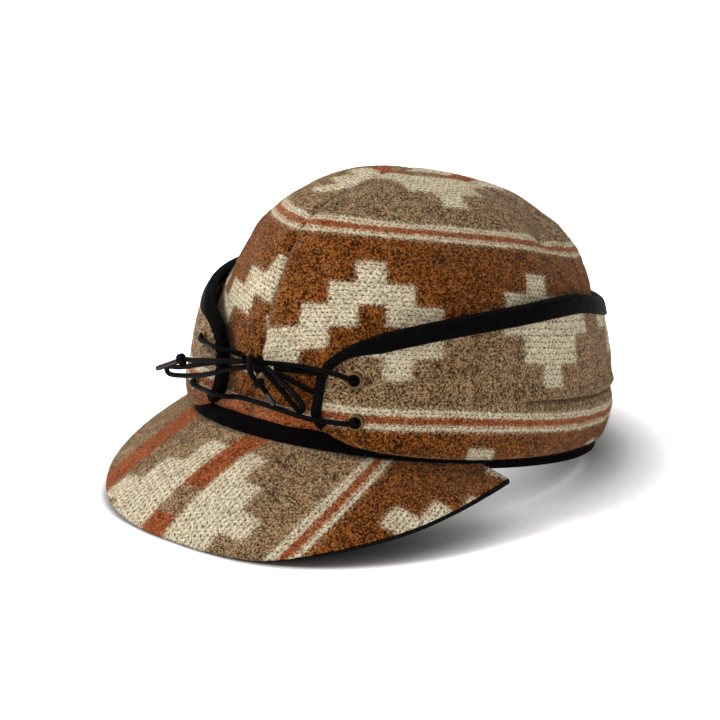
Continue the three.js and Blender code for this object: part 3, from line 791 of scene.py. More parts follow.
def raise_surface(tree, shader, height, distance, strength):
    bump = {"Height": height, "Distance": distance, "Strength": strength}
    join(add_node(tree, "ShaderNodeBump", bump, "Normal"), shader["Normal"])


def cloth_place(tree):
    """The place on the flat cloth, in millimetres along and up it."""
    flat = tree.nodes.new("ShaderNodeUVMap")
    flat.uv_map = CLOTH_MAP
    parts = tree.nodes.new("ShaderNodeSeparateXYZ")
    tree.links.new(flat.outputs["UV"], parts.inputs["Vector"])
    return Wire(tree, parts.outputs[0]), Wire(tree, parts.outputs[1])


def room_place(tree, scale=1000):
    """The place in the object, in millimetres unless another scale is given."""
    place = Wire(tree, tree.nodes.new("ShaderNodeTexCoord").outputs["Object"])
    return add_node(tree, "ShaderNodeMapping", {"Vector": place, "Scale": (scale, scale, scale)}, "Vector")


def charted(tree, along, up, room, layer, axes):
    """One reading of the chart, with its place on the cloth nudged by noise so that edges are ragged."""
    scale, spread_along, spread_up = layer
    nudge_along = noise(tree, room, scale, 4.0, 0.85) - 0.5
    nudge_up = noise(tree, room, 1.4 * scale, 4.0, 0.85) - 0.5
    place = {"Along": along + nudge_along * spread_along, "Up": up + nudge_up * spread_up}
    return placed_group(tree, CHART, {**place, **axes})


def blanket_wool(name, rust_axis, rust_start, taupe_axis, taupe_start, bar_axis, nap=0.75):
    material, tree, shader = new_material(name, 0.95, 0.22, 0.16, BLOOM, specular=0.02)
    along, up = cloth_place(tree)
    room = room_place(tree)
    axes = {"Rust axis": rust_axis, "Rust start": rust_start, "Taupe axis": taupe_axis,
            "Taupe start": taupe_start, "Bar axis": bar_axis}
    spun = {label: placed_group(tree, YARN, {"Vector": room, **dict(zip(YARN_INPUTS, values))})
            for label, values in YARNS.items()}
    weave = placed_group(tree, WEAVE, {"Along": along, "Up": up, "Nap": nap})
    dash = weave["Dash"]
    cream = blend_colour(tree, dash * 0.95, spun["cream"]["Color"], DASH_COLOUR)
    layers = []
    for layer in CHART_LAYERS:
        chart = charted(tree, along, up, room, layer, axes)
        colour = blend_colour(tree, chart["Taupe"], spun["rust"]["Color"], spun["taupe"]["Color"])
        colour = blend_colour(tree, dash * 0.28, colour, DASH_COLOUR)
        colour = blend_colour(tree, chart["Orange"], colour, spun["orange"]["Color"])
        layers.append(blend_colour(tree, chart["Cream"], colour, cream))
    covered = noise(tree, room, 0.3) * 0.9
    join(blend_colour(tree, covered, *layers), shader["Base Color"])
    height = spun["rust"]["Height"] + weave["Height"] * 0.3 - dash * 0.4
    raise_surface(tree, shader, height, NAP_HEIGHT, 0.9)
    return material


# Rust axis and start, taupe axis and start, bar axis, and how far the nap hides the dashes
WOOL = {
    "crown_left": blanket_wool("wool_crown_left", -50.5, 17, -2, 16, -2),
    "crown_right": blanket_wool("wool_crown_right", -93, 17, -45, 16, -45),
    "crown_back": blanket_wool("wool_crown_back", 42, 17, 0, 16, 0),
    "earband": blanket_wool("wool_earband", 0, 12.5, -44.5, 17, -44.5, 0.8),
    "visor": blanket_wool("wool_visor", -3.2, 17, -41, 15.4, -40.4, 0.6),
}
print("wool materials", sorted(WOOL))

# %% [markdown]
# ## Tape, cord and metal
# The tape that binds the edges is black cotton twill: fine slanted ribs, a dull surface and a little lint.
# The lace is plaited and waxed, so it has small slanted plaits and a soft gloss. The eyelets are brass that
# has gone brown, bright again only on the rounded edges where the lace and fingers rub it.

# %% Tape, cord and metal
def rib_group():
    group, given, result = new_group("Slanted ribs", {"Along": 0.0, "Up": 0.0, "Pitch": 0.8, "Slant": 1.0},
                                     {"Height": FLOAT})
    slanted = given["Along"] + given["Up"] * given["Slant"]
    turn = slanted / given["Pitch"] * (2 * math.pi)
    join(turn.maths("SINE") * 0.5 + 0.5, result["Height"])
    return group


RIBS = rib_group()


def black_tape(name, body, roughness, sheen):
    material, tree, shader = new_material(name, roughness, sheen, 0.4, (0.8, 0.8, 0.85, 1), specular=0.01)
    along, up = cloth_place(tree)
    room = room_place(tree)
    ribs = placed_group(tree, RIBS, {"Along": along, "Up": up, "Pitch": 0.9})
    specks = add_node(tree, "ShaderNodeTexVoronoi", {"Vector": room, "Scale": 0.5}, "Distance")
    lighter = tuple(2 * c for c in body[:3]) + (1,)
    colour = blend_colour(tree, noise(tree, room, 0.25, 3.0, 0.6), body, lighter)
    colour = blend_colour(tree, (specks < 0.1) * 0.12, colour, tint(120, 105, 90))
    join(colour, shader["Base Color"])
    raise_surface(tree, shader, ribs["Height"] + noise(tree, room, 0.5, 3.0) * 1.6, 0.00015, 0.7)
    return material


def waxed_cord():
    material, tree, shader = new_material("waxed_cord", 0.35, specular=0.03)
    along, up = cloth_place(tree)
    plaits = [placed_group(tree, RIBS, {"Along": along, "Up": up, "Pitch": 1.0, "Slant": slant})["Height"]
              for slant in (4.0, -4.0)]
    plait = plaits[0].maths("MAXIMUM", plaits[1])
    join(blend_colour(tree, plait, tint(1, 1, 1), tint(8, 7, 7)), shader["Base Color"])
    raise_surface(tree, shader, plait, 0.00025, 0.8)
    return material


def old_brass():
    material, tree, shader = new_material("old_brass", 0.42, metallic=1.0)
    edge = Wire(tree, tree.nodes.new("ShaderNodeNewGeometry").outputs["Pointiness"])
    rubbed = ((edge - 0.5) * 9.0).clamped()
    stain = noise(tree, room_place(tree), 0.9, 4.0, 0.65)
    dull = blend_colour(tree, stain, tint(18, 13, 7), tint(52, 39, 21))
    join(blend_colour(tree, rubbed, dull, tint(140, 114, 68)), shader["Base Color"])
    join(stain * 0.35 + 0.2, shader["Roughness"])
    raise_surface(tree, shader, stain, 0.00008, 0.5)
    return material


def tip_film():
    material, tree, shader = new_material("tip_film", 0.3, coat=0.35, specular=0.15, coat_roughness=0.1)
    thread = noise(tree, room_place(tree), 1.6)
    join(blend_colour(tree, thread, tint(4, 4, 4), tint(34, 31, 29)), shader["Base Color"])
    raise_surface(tree, shader, thread, 0.00005, 0.4)
    return material


TAPE = black_tape("binding_tape", tint(5, 5, 5), 0.6, 0.0)
BAND_TAPE = black_tape("rim_tape", tint(4, 3, 3), 0.8, 0.0)
UNDER_CLOTH = black_tape("visor_under_cloth", tint(12, 11, 10), 0.9, 0.02)
CORD_LOOK = waxed_cord()
BRASS = old_brass()
FILM = tip_film()
print("other materials", TAPE.name, BAND_TAPE.name, UNDER_CLOTH.name, CORD_LOOK.name, BRASS.name, FILM.name)

# %% [markdown]
# ## Dressing the cords
# Every piece rides on the one body of the cap, takes its material, and names the solids that it stands for,
# which are then hidden.

# %% Dress the cords
def dress(piece, look, slot, *nodes):
    looks = look if isinstance(look, (list, tuple)) else [look]
    for material in looks:
        piece.data.materials.append(material)
    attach(piece, "root")
    if nodes:
        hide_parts(*nodes)


def declare_cord(line):
    path = on_floor(line)


dress(laced, CORD_LOOK, "waxed_lace", "lace")
dress(bow_knot, CORD_LOOK, "waxed_lace", "lace_knot")
dress(tucked, CORD_LOOK, "waxed_lace")
for side_name in SIDES:
    dress(bow[f"bow_loop_{side_name}"], CORD_LOOK, "waxed_lace", f"lace_loop_{side_name}")
for side_name in SIDES:
    dress(bow[f"free_end_{side_name}"], CORD_LOOK, "waxed_lace", f"lace_tail_{side_name}")
for side_name in SIDES:
    dress(end_knots[side_name], CORD_LOOK, "waxed_lace", f"lace_end_knot_{side_name}")
    dress(aglets[side_name], FILM, "lace_tip", f"aglet_{side_name}")
    declare_cord(bow_lines[f"free_end_{side_name}"])
for side_name in SIDES:
    declare_cord(bow_lines[f"bow_loop_{side_name}"])

# %% [markdown]
# ## Crown panels
# The crown is cut as three panels: one on each side of the front and one at the back. Where two panels
# meet, the cloth turns inwards, so each seam is a soft furrow with a sharp line in it. The cloth also has
# dents from handling: each has an azimuth, a height, a reach and a depth. A panel's place on the flat cloth
# is its distance from its own middle line, and its height measured along the cloth from the stripe, so the
# stripes meet at the seams. Low on the front the cloth shows only its orange thread, as on the real cap.

# %% Crown panels
BACK_SEAM = 122
PANELS = {"left": (0, BACK_SEAM), "back": (BACK_SEAM, 360 - BACK_SEAM), "right": (360 - BACK_SEAM, 360)}
PANEL_COLUMNS = 110
PANEL_ROWS = 96
SEAM_TRIM = 0.12
CLOTH_THICKNESS = 2.5
STRIPE_HEIGHT = 99.8
PLAIN_BELOW = -64
PLAIN_GROUND = -10
ORANGE_BELOW = 16.5
ORANGE_GROUND = -0.4
CREAM_LINE = 1.4
CREAM_GROUND = 3
DENTS = [
    (105.5, 100.5, 7, 3.2), (60, 93, 17, 1), (268, 100, 15, 2), (180, 95, 20, 2),
    (338, 116, 12, 1.6), (300, 88, 14, 1.4), (30, 108, 14, 0.8)]
RIPPLES = [
    (0.9, 0.023, 0.031, 0.4), (0.5, 0.051, -0.037, 1.9), (0.3, -0.083, 0.071, 3.1), (0.16, 0.19, 0.16, 0.8)]


def ripple(points):
    """Small uneven waves of handled cloth, in millimetres."""
    total = 0
    for size, along, up, start in RIPPLES:
        across = points[..., 0] - 0.7 * points[..., 1]
        phase = 2 * math.pi * (along * across + up * points[..., 2]) + start
        total = total + size * np.sin(phase + 1.3 * np.sin(0.05 * points[..., 1] + start))
    return total * 0.45


def from_front(azimuth):
    return np.where(azimuth > 180, 360 - azimuth, azimuth)


def stripe_bow(azimuth):
    """How far the woven rows sag from level, because the cloth was cut flat."""
    away = from_front(azimuth)
    from_middle = np.minimum(away, BACK_SEAM) - 50
    front = np.where(from_middle < 0, 0.0008, 0.0012) * from_middle ** 2
    back = 3 * (1 - ((180 - np.maximum(away, BACK_SEAM)) / (180 - BACK_SEAM)) ** 2)
    return front + back


ARC_LENGTHS = walk(oval(FINE_ROWS, 45.0, 0.0))


def climb(height):
    """The way up the cloth from the rim to a height."""
    return np.interp(height, FINE_ROWS[:, 0], ARC_LENGTHS)


def panel_chart(azimuth, height, along):
    """From a place on the panel to the cloth, in millimetres along and up from the triple stripe."""
    bow = stripe_bow(azimuth)
    below = climb(height + bow)
    high = climb(height) + 1.35 * bow * (1 - 0.5 * ease(104, 122, height))
    up = below + (high - below) * ease(96, 104, height) - climb(STRIPE_HEIGHT)
    stretch = 0.16 * (np.clip(50 - from_front(azimuth), 0, 50) / 50) ** 2
    up = np.where(up < 0, up * (1 - stretch), up)
    up = np.where(up < PLAIN_BELOW, PLAIN_GROUND, up)
    line_or_orange = np.where(height > ORANGE_BELOW - CREAM_LINE, CREAM_GROUND, ORANGE_GROUND)
    return np.stack([along, np.where(height < ORANGE_BELOW, line_or_orange, up)], -1)


def crown_panel(name):
    start, end = PANELS[name]
    middle = (start + end) / 2
    index = np.linspace(0, 1, PANEL_ROWS) ** 0.9 * (len(CROWN_ROWS) - 1)
    row = smooth_rows(CROWN_ROWS, index)
    radius = np.sqrt(row[:, 1] * row[:, 2])
    evenly = np.linspace(-1, 1, PANEL_COLUMNS)
    share = evenly * (1 - 0.25 * (1 - np.abs(evenly)))
    trim = np.degrees(np.minimum(SEAM_TRIM / radius, 0.3))
    half = (end - start) / 2 - trim
    azimuth = middle + share[:, None] * half[None, :]
    rows = np.broadcast_to(row, (PANEL_COLUMNS,) + row.shape)
    height = rows[..., 0]
    surface = oval(rows, azimuth, 0.0)

    def at_rows(index):
        return oval(np.broadcast_to(smooth_rows(CROWN_ROWS, index), rows.shape), azimuth, 0.0)

    def from_centre(points):
        return np.hypot(points[..., 0], points[..., 1] - rows[..., 3])

    higher = at_rows(np.minimum(index + 0.2, len(CROWN_ROWS) - 1))
    lower = at_rows(np.maximum(index - 0.2, 0))
    rise = higher[..., 2] - lower[..., 2]
    run = from_centre(lower) - from_centre(higher)
    length = np.hypot(rise, run)
    from_seam = np.radians(np.minimum(azimuth - start, end - azimuth)) * radius
    furrow = (0.9 * hump(0, 3, from_seam) + 0.8 * hump(0, 0.9, from_seam)) * ease(2, 12, height)
    pucker = 0.3 * np.sin(surface[..., 2] * 0.75 + surface[..., 1] * 0.3)
    depth = furrow + pucker * hump(0, 6, from_seam) * ease(12, 30, height)
    for dent_azimuth, dent_height, reach, deep in DENTS:
        distance = np.linalg.norm(surface - on_cap(dent_azimuth, dent_height, 0.0), axis=-1)
        depth = depth + deep * hump(0, reach, distance)
    depth = depth + ripple(surface) * ease(5, 40, height) * (1 - ease(117, 122, height))

    def sunk(by):
        """The surface moved inwards, square to the cloth."""
        moved = rows.copy()
        moved[..., 0] -= by * run / length
        return oval(moved, azimuth, -np.minimum(by * rise / length, rows[..., 1] / 2))

    across = np.linalg.norm(np.diff(surface, axis=0), axis=-1)
    walked = np.concatenate([np.zeros((1, PANEL_ROWS)), np.cumsum(across, axis=0)])
    along = walked - walked[PANEL_COLUMNS // 2]
    flat = panel_chart(azimuth, height, -along if name == "right" else along)
    return skin(f"crown_{name}_cloth", sunk(depth), sunk(np.maximum(CLOTH_THICKNESS, depth + 1.7)), flat)


crown = {name: crown_panel(name) for name in PANELS}
for name, piece in crown.items():
    dress(piece, WOOL[f"crown_{name}"], "crown_wool", f"crown_{name}")
    print(piece.name, len(piece.data.polygons), "faces")

# %% [markdown]
# ## Rim tape
# The lower edge of the crown is bound by a wide tape that is folded under it. It is one ring with a rounded
# lower fold, pressed flat at the back where the cap stands on the floor. Each point of its section is a
# height and a distance outside the crown.

# %% Rim tape
RIM_COLUMNS = 300
RIM_SECTION_OUT = np.array([
    (9.5, 0.5), (9.45, 1.25), (8.6, 1.5), (6, 1.62), (3, 1.6), (1, 1.5), (-0.4, 1.2), (-1.1, 0.4),
    (-1.2, -0.6), (-1.2, -2.2), (-0.9, -3.4), (-0.2, -4.1), (1.5, -4.3), (8, -4.0)])
RIM_SECTION_IN = np.array([
    (9.5, 0.35), (9.3, 0.35), (8.6, 0.35), (6, 0.35), (3, 0.35), (1, 0.3), (0.1, 0.25), (0, 0.1),
    (0, -0.6), (0, -2.2), (0, -2.6), (0.3, -2.85), (1.5, -2.9), (8, -2.9)])


def rim_tape():
    azimuth = np.linspace(0, 360, RIM_COLUMNS, endpoint=False)
    circle = walk(on_cap(azimuth, 5.0, 2.0))
    wave = 0.35 * np.sin(np.radians(azimuth) * 23) * np.sin(np.radians(azimuth) * 7)
    grids = []
    for height, off in (RIM_SECTION_OUT.T, RIM_SECTION_IN.T):
        lifted = height[None, :] + wave[:, None] * ease(2, 9, height)[None, :]
        point = on_cap(azimuth[:, None], np.maximum(lifted, 0.3), off[None, :])
        point[..., 2] = lifted
        grids.append(point)
    flat = np.stack(np.broadcast_arrays(circle[:, None], walk(RIM_SECTION_OUT)[None, :]), -1)
    piece = skin("rim_tape", grids[0], grids[1], flat, ring=True)
    for vertex in piece.data.vertices:
        vertex.co.z = max(vertex.co.z, 0.0)
    return piece


rim = rim_tape()
dress(rim, BAND_TAPE, "black_binding", "rim_band")
print("rim tape", len(rim.data.polygons), "faces")

# %% [markdown]
# ## Visor
# The visor is a stiff sheet with wool on top and black cloth below. Its outer edge is a smooth arc, and the
# wool wraps over it to the black cloth. To lay the woven figures on it, the curved sheet is unrolled
# flat, strip by strip, as paper would unroll.

# %% Visor
VISOR_THICKNESS = 3.4
VISOR_COLUMNS = 181
VISOR_OUT = 46
VISOR_REACH = 62.0
VISOR_HALF_WIDTH = 97.8
VISOR_CORNER = (-38, -0.6)
VISOR_FORWARD = 105.7
VISOR_DROP = 43.1
VISOR_SEWN_TO = 66
VISOR_SEAM_HEIGHT = 1.6
VISOR_BULGE = 8
FLATTER_EDGE = 1.6
BAR_UP = 49.3


def visor_edge(turn):
    across, along = np.sin(np.radians(turn)), np.cos(np.radians(turn))
    x = VISOR_HALF_WIDTH * np.sign(across) * np.abs(across) ** 0.794
    y = VISOR_CORNER[0] - VISOR_FORWARD * along ** 0.844
    z = VISOR_CORNER[1] - VISOR_DROP * along ** 0.86
    return np.stack([x, y, z], -1)


def visor_point(turn, out):
    """A place on the visor: `turn` goes round it, and `out` from the rim (0) to the edge (1)."""
    turn, out = np.broadcast_arrays(np.asarray(turn, float), out)
    out = out * (1 - FLATTER_EDGE / VISOR_REACH * hump(48, 18, turn))
    inner = on_cap(turn / 90 * VISOR_SEWN_TO, 0.3, 1.8)
    inner[..., 2] = VISOR_SEAM_HEIGHT
    bulge = VISOR_BULGE * out * (1 - out) * np.cos(np.radians(turn)) * math.sqrt(0.5)
    point = inner + (visor_edge(turn) - inner) * out[..., None]
    point[..., 1] -= bulge
    point[..., 2] += bulge
    return point


def unrolled(inner, outer):
    """The flat places of two edges of a rolled sheet, kept at their true distances from each other."""
    middle = len(inner) // 2
    flat_in, flat_out = np.zeros((len(inner), 2)), np.zeros((len(inner), 2))
    flat_out[middle] = (0, -np.linalg.norm(outer[middle] - inner[middle]))

    def third(a, b, a3, b3, c3, side):
        base, to_a, to_b = np.linalg.norm(b3 - a3), np.linalg.norm(c3 - a3), np.linalg.norm(c3 - b3)
        x = (to_a ** 2 - to_b ** 2 + base ** 2) / (2 * base)
        y = math.sqrt(max(to_a ** 2 - x ** 2, 0))
        ahead = unit(b - a)
        return a + ahead * x + np.array((-ahead[1], ahead[0])) * y * side

    for side in (1, -1):
        k = middle
        while 0 <= k + side < len(inner):
            j = k + side
            flat_out[j] = third(flat_in[k], flat_out[k], inner[k], outer[k], outer[j], side)
            flat_in[j] = third(flat_in[k], flat_out[j], inner[k], outer[j], inner[j], side)
            k = j
    return flat_in, flat_out


def visor_chart(flat):
    """From the flat visor to the cloth: lines of the cloth fan out a little over the stretched sheet."""
    p, q = flat[..., 0], flat[..., 1]
    triple = 62.5 - 0.0025 * (q - 5) ** 2
    bar = 8.8 + 0.6 * q + 0.0035 * q ** 2
    single = -50.6 + 0.28 * q - 0.0055 * q ** 2
    near = BAR_UP * (triple - p) / (triple - bar)
    far = BAR_UP + SINGLE_AWAY * (bar - p) / (bar - single)
    up = np.where(p > triple, 0.835 * (triple - p), np.where(p > bar, near, far))
    lean = 0.06 * np.clip(BAR_UP - up, 0, BAR_UP)
    return np.stack([q + lean, up], -1)


def visor_piece():
    turn = np.linspace(-89.6, 89.6, VISOR_COLUMNS)
    out = np.linspace(0, 1, VISOR_OUT) ** 0.85
    top = visor_point(turn[:, None], out[None, :])
    ahead = np.gradient(top, axis=0)
    away = np.gradient(top, axis=1)
    normal = unit(np.cross(away, ahead))
    normal *= np.sign(normal[..., 2:3].mean())
    sewn = np.minimum(1, out * 3)[None, :, None]
    down = -unit(np.array((0, 0, 1.0)) * (1 - sewn) + normal * sewn)
    ridge = 0.18 * ripple(top * 1.7)[..., None] * ease(0.05, 0.3, out)[None, :, None]
    top = top - down * ridge
    half = VISOR_THICKNESS / 2
    edge_out = unit(away[:, -1]) * half * 0.75
    edge_down = down[:, -1] * half
    rings = np.stack([top[:, -1] + edge_down * (1 - math.cos(angle)) + edge_out * math.sin(angle)
                      for angle in np.radians(np.arange(15, 180, 15))], 1)
    bottom = (top + down * VISOR_THICKNESS)[:, ::-1]
    section = np.concatenate([top, rings, bottom], 1)
    count = section.shape[1]
    flat_in, flat_out = unrolled(top[:, 0], top[:, -1])
    share = np.concatenate([out, 1 + np.linspace(0.02, 0.1, rings.shape[1]), 1.1 + (1 - out[::-1]) * 0.9])
    flat = flat_in[:, None] + (flat_out - flat_in)[:, None] * share[None, :, None]
    points = on_floor(section.reshape(-1, 3))
    points[:, 2] = np.maximum(points[:, 2], 0)
    faces = grid_faces(VISOR_COLUMNS, count, flip=True)
    for c in range(VISOR_COLUMNS - 1):
        a, b = c * count, (c + 1) * count
        faces.append((a, b, b + count - 1, a + count - 1))
    for c, flip in ((0, False), ((VISOR_COLUMNS - 1) * count, True)):
        for r in range(count // 2):
            face = (c + r, c + count - 1 - r, c + count - 2 - r, c + r + 1)
            if len(set(face)) == 4:
                faces.append(face[::-1] if flip else face)
    piece = make_object("visor_cloth", points, faces, visor_chart(flat).reshape(-1, 2))
    # The wool wraps halfway round the edge in front. On the wearer's left the black under cloth reaches up
    # almost the whole edge: partly the real black underside, partly painted shade for the dark band under
    # the visor's edge
    under = VISOR_OUT + 6 - 6 * ease(10, 45, turn)
    for polygon in piece.data.polygons:
        rows = [v % count for v in polygon.vertices]
        polygon.material_index = int(min(rows) >= under[min(polygon.vertices) // count])
    return piece


visor = visor_piece()
dress(visor, [WOOL["visor"], UNDER_CLOTH], "visor_wool", "visor")
print("visor", len(visor.data.polygons), "faces")

# %% [markdown]
# ## Earband
# Each half of the earband is folded wool with a padded middle. It is thin at its bound edge, swells above
# its lower fold, and has a tuck with a sharp crease from the side round to the back. Its lower edge is a
# round fold, so both faces come together there.

# %% Earband
EARBAND_COLUMNS = 210
EARBAND_HEIGHTS = np.concatenate([[0, 0.004, 0.012, 0.026, 0.045], np.linspace(0.07, 0.33, 18),
                                  np.linspace(0.337, 0.45, 24), np.linspace(0.465, 1, 36)])
EARBAND_START = 19
EARBAND_END = 180 - 0.12
FOLD = 3.2
EYELETS = {"upper": (28, 35), "lower": (29.8, 16.9)}
PUNCH_RADIUS = 2.3
BAND_STRIPE_HEIGHT = 18.8
CHART_LEVEL = (35.0, 6.0)
CHART_FROM = 64.0


def earband_face(side, azimuth, height):
    return on_side(side, azimuth, height, earband_outer(azimuth, height, side)).ravel()


def earband_piece(side, side_name):
    share = np.linspace(0, 1, EARBAND_COLUMNS)
    azimuth = EARBAND_START + (EARBAND_END - EARBAND_START) * (0.75 * share + 0.25 * share ** 2)
    bottom, top = from_rows(EARBAND_ROWS, azimuth)
    height = bottom[:, None] + EARBAND_HEIGHTS[None, :] * (top - bottom)[:, None]
    wide = np.broadcast_to(azimuth[:, None], height.shape)
    inner = earband_inner(wide, height, side)
    padding = earband_padding(wide, height)
    creased = ease(74, 84, wide) * (1 - 0.5 * ease(150, 180, wide))
    line = TUCK_HEIGHT - 1 + 0.8 * np.sin(np.radians(wide * 2.3))
    tuck = creased * (2.6 * hump(0, 0.6, height - line) + 1.0 * hump(-0.5, 2.6, height - line)
                      - 0.9 * hump(3.6, 2.6, height - line))
    place = on_side(side, wide, height, inner + padding)
    uneven = ripple(place * 1.25 + side * 7) * ease(0.03, 0.2, EARBAND_HEIGHTS) * ease(20, 32, wide)
    pucker = 0.22 * np.sin(wide * 3.1 + 1.3 * np.sin(wide * 0.7)) * hump(1, 0.16, EARBAND_HEIGHTS[None, :])
    padding = padding - tuck + 0.7 * uneven + pucker
    rounding = np.sqrt(np.clip(1 - (1 - np.clip((height - bottom[:, None]) / FOLD, 0, 1)) ** 2, 0.004, 1))
    middle = inner + padding / 2
    outside = on_side(side, wide, height, middle + padding / 2 * rounding)
    inside = on_side(side, wide, height, middle - padding / 2 * rounding)
    walked = walk(on_side(side, azimuth, *CHART_LEVEL))
    along = np.broadcast_to((walked - np.interp(CHART_FROM, azimuth, walked))[:, None], height.shape)
    up = height - BAND_STRIPE_HEIGHT - 2.8 * ease(20, 60, wide) + 1.5 * ease(65, 100, wide)
    above = np.maximum(up, 0)
    up = up + ease(45, 85, wide) * above * (0.2 - 0.0068 * above)
    flat = np.stack([along, up], -1)
    punched = np.zeros(height.shape, bool)
    for spot in EYELETS.values():
        punched |= np.linalg.norm(outside - earband_face(side, *spot), axis=-1) < PUNCH_RADIUS
    way = slice(None, None, side)
    return skin(f"earband_{side_name}_cloth", outside[way], inside[way], flat[way], punched=punched[way])


for side_name, side in SIDES.items():
    band = earband_piece(side, side_name)
    dress(band, WOOL["earband"], "earband_wool", f"earband_{side_name}")
    print(band.name, len(band.data.polygons), "faces")

# %% [markdown]
# ## Binding
# A tape is folded over the raw edge of the earband and sewn through. Its outer leg shows about 7 mm wide,
# narrower round the front end. The tape is drawn as a section that rides along the edge line. Each of its
# points has a share of the tape's width, a share of the band's padding, and a lift off it.

# %% Binding
BINDING_SECTION_OUT = [
    (1.0, 1, 0.7), (0.985, 1, 1.15), (0.9, 1, 1.45), (0.6, 1, 1.62), (0.3, 1, 1.62), (0.04, 1, 1.45),
    (-0.1, 1, 1.0), (-0.185, 0.75, 0.6), (-0.2, 0.5, 0.3), (-0.185, 0.2, 0), (-0.1, 0, -0.9),
    (0.05, 0, -1.4), (0.35, 0, -1.5), (0.7, 0, -1.45)]
BINDING_SECTION_IN = [
    (1.0, 1, 0.62), (0.985, 1, 0.62), (0.9, 1, 0.62), (0.6, 1, 0.62), (0.3, 1, 0.62), (0.04, 1, 0.6),
    (0.0, 1, 0.5), (-0.03, 0.75, 0.3), (-0.04, 0.5, 0.1), (-0.03, 0.2, 0), (0.0, 0, -0.4),
    (0.05, 0, -0.6), (0.35, 0, -0.6), (0.7, 0, -0.6)]
SEAM_SHARE = 0.86
STITCH_PITCH = 3.1
STITCH_POINTS = np.array((0, 0.6, 1.2, 1.8))
STITCH_RADII = (0.1, 0.26, 0.26, 0.1)
MM_PER_DEGREE = 1.75
TAPE_WIDTH = 13
BINDING_END = 179.95


def edge_line():
    """The bound edge as azimuth and height: up the front end, then along the top to the back."""
    fine = smooth_rows(EARBAND_ROWS, np.linspace(0, len(EARBAND_ROWS) - 1, 400))
    first, low_corner, high_corner = EARBAND_ROWS[0]
    low = fine[fine[:, 0] < 22][::-1][:, :2]
    end = np.stack([np.full(6, first), np.linspace(low_corner, high_corner, 8)[1:-1]], -1)
    line = np.concatenate([low, end, fine[:, [0, 2]]])
    walked = walk(line * (MM_PER_DEGREE, 1))
    stops = np.linspace(0, walked[-1], 300)
    return eased(points_at(line, walked, stops), 6), stops


def binding_width(azimuth):
    return 3.8 + 3.2 * ease(22, 34, azimuth)


def binding_point(side, line, inward, padding, lift):
    """A point of the tape, `inward` millimetres from the edge line."""
    ahead = unit(np.gradient(line * (MM_PER_DEGREE, 1), axis=0))
    azimuth = line[:, 0] + inward * ahead[:, 1] / MM_PER_DEGREE
    height = line[:, 1] - inward * ahead[:, 0]
    within = np.maximum(azimuth, EARBAND_ROWS[0, 0])
    off = earband_inner(within, height, side) + padding * earband_padding(within, height) + lift
    return on_side(side, np.minimum(azimuth, BINDING_END), height, off)


def binding_piece(side, side_name):
    line, stops = edge_line()
    width = binding_width(line[:, 0])
    puff = 0.12 * np.sin(stops * 0.16 + 1.1 * np.sin(stops * 0.05)) + 0.04 * np.sin(stops * 0.7)
    grids = []
    for section in (BINDING_SECTION_OUT, BINDING_SECTION_IN):
        grids.append(np.stack([binding_point(side, line, share * width, padding, lift + puff * (lift > 0.9))
                               for share, padding, lift in section], 1))
    across = np.linspace(0, TAPE_WIDTH, len(BINDING_SECTION_OUT))
    flat = np.stack(np.broadcast_arrays(stops[:, None], across[None, :]), -1)
    if side < 0:
        grids = [grid[::-1] for grid in grids]
        flat = flat[::-1]
    return skin(f"binding_{side_name}", grids[0][:, ::-1], grids[1][:, ::-1], flat[:, ::-1])


def stitch_row(side, side_name):
    """Small black stitches near the wool edge of the tape."""
    line, _ = edge_line()
    width = binding_width(line[:, 0])
    seam = binding_point(side, line, width * SEAM_SHARE, 1, 1.62)
    walked = walk(seam)
    parts = [tube("stitch", points_at(seam, walked, start + STITCH_POINTS), STITCH_RADII, 6)
             for start in np.arange(3, walked[-1] - 3, STITCH_PITCH)]
    return joined(f"binding_stitches_{side_name}", parts)


for side_name, side in SIDES.items():
    tape = binding_piece(side, side_name)
    dress(tape, TAPE, "black_binding", f"earband_binding_{side_name}")
    stitches = stitch_row(side, side_name)
    dress(stitches, CORD_LOOK, "black_binding")
    print(tape.name, len(tape.data.polygons), "faces,", len(stitches.data.polygons), "in its stitches")

# %% [markdown]
# ## Eyelets
# An eyelet is one stamped piece: a rolled flange outside and a barrel through the cloth. A profile turned
# round an axis gives it, and it stands square to the earband where the lace goes through.

# %% Eyelets
FLANGE_PROFILE = [
    (2.1, -4.6), (2.1, -1.0), (2.12, 0.2), (2.25, 0.75), (2.55, 1.08), (3.0, 1.2), (3.5, 1.12),
    (3.9, 0.85), (4.05, 0.5), (3.95, 0.3), (3.4, 0.3), (2.8, 0.28), (2.75, -1.0), (2.75, -4.6)]
EYELET_SIDES = 40


def eyelet(side, spot, name):
    azimuth, height = spot
    around = earband_face(side, azimuth + 1.5, height) - earband_face(side, azimuth - 1.5, height)
    up = earband_face(side, azimuth, height + 3.0) - earband_face(side, azimuth, height - 3.0)
    outward = unit(np.cross(around, up) * side)
    across = unit(around)
    other = np.cross(outward, across)
    centre = earband_face(side, azimuth, height)
    points, faces = [], []
    for angle in np.linspace(0, 2 * math.pi, EYELET_SIDES, endpoint=False):
        spoke = math.cos(angle) * across + math.sin(angle) * other
        points += [centre + radius * spoke + out * outward for radius, out in FLANGE_PROFILE]
    rows = len(FLANGE_PROFILE)
    for k in range(EYELET_SIDES):
        for r in range(rows):
            a, b = k * rows, (k + 1) % EYELET_SIDES * rows
            faces.append((a + r, a + (r + 1) % rows, b + (r + 1) % rows, b + r))
    return make_object(name, on_floor(np.array(points)), faces)


for side_name, side in SIDES.items():
    for level_name, spot in EYELETS.items():
        ring = eyelet(side, spot, f"eyelet_ring_{level_name}_{side_name}")
        dress(ring, BRASS, "eyelet_brass", f"eyelet_{level_name}_{side_name}")
print("eyelets", len(SIDES) * len(EYELETS))

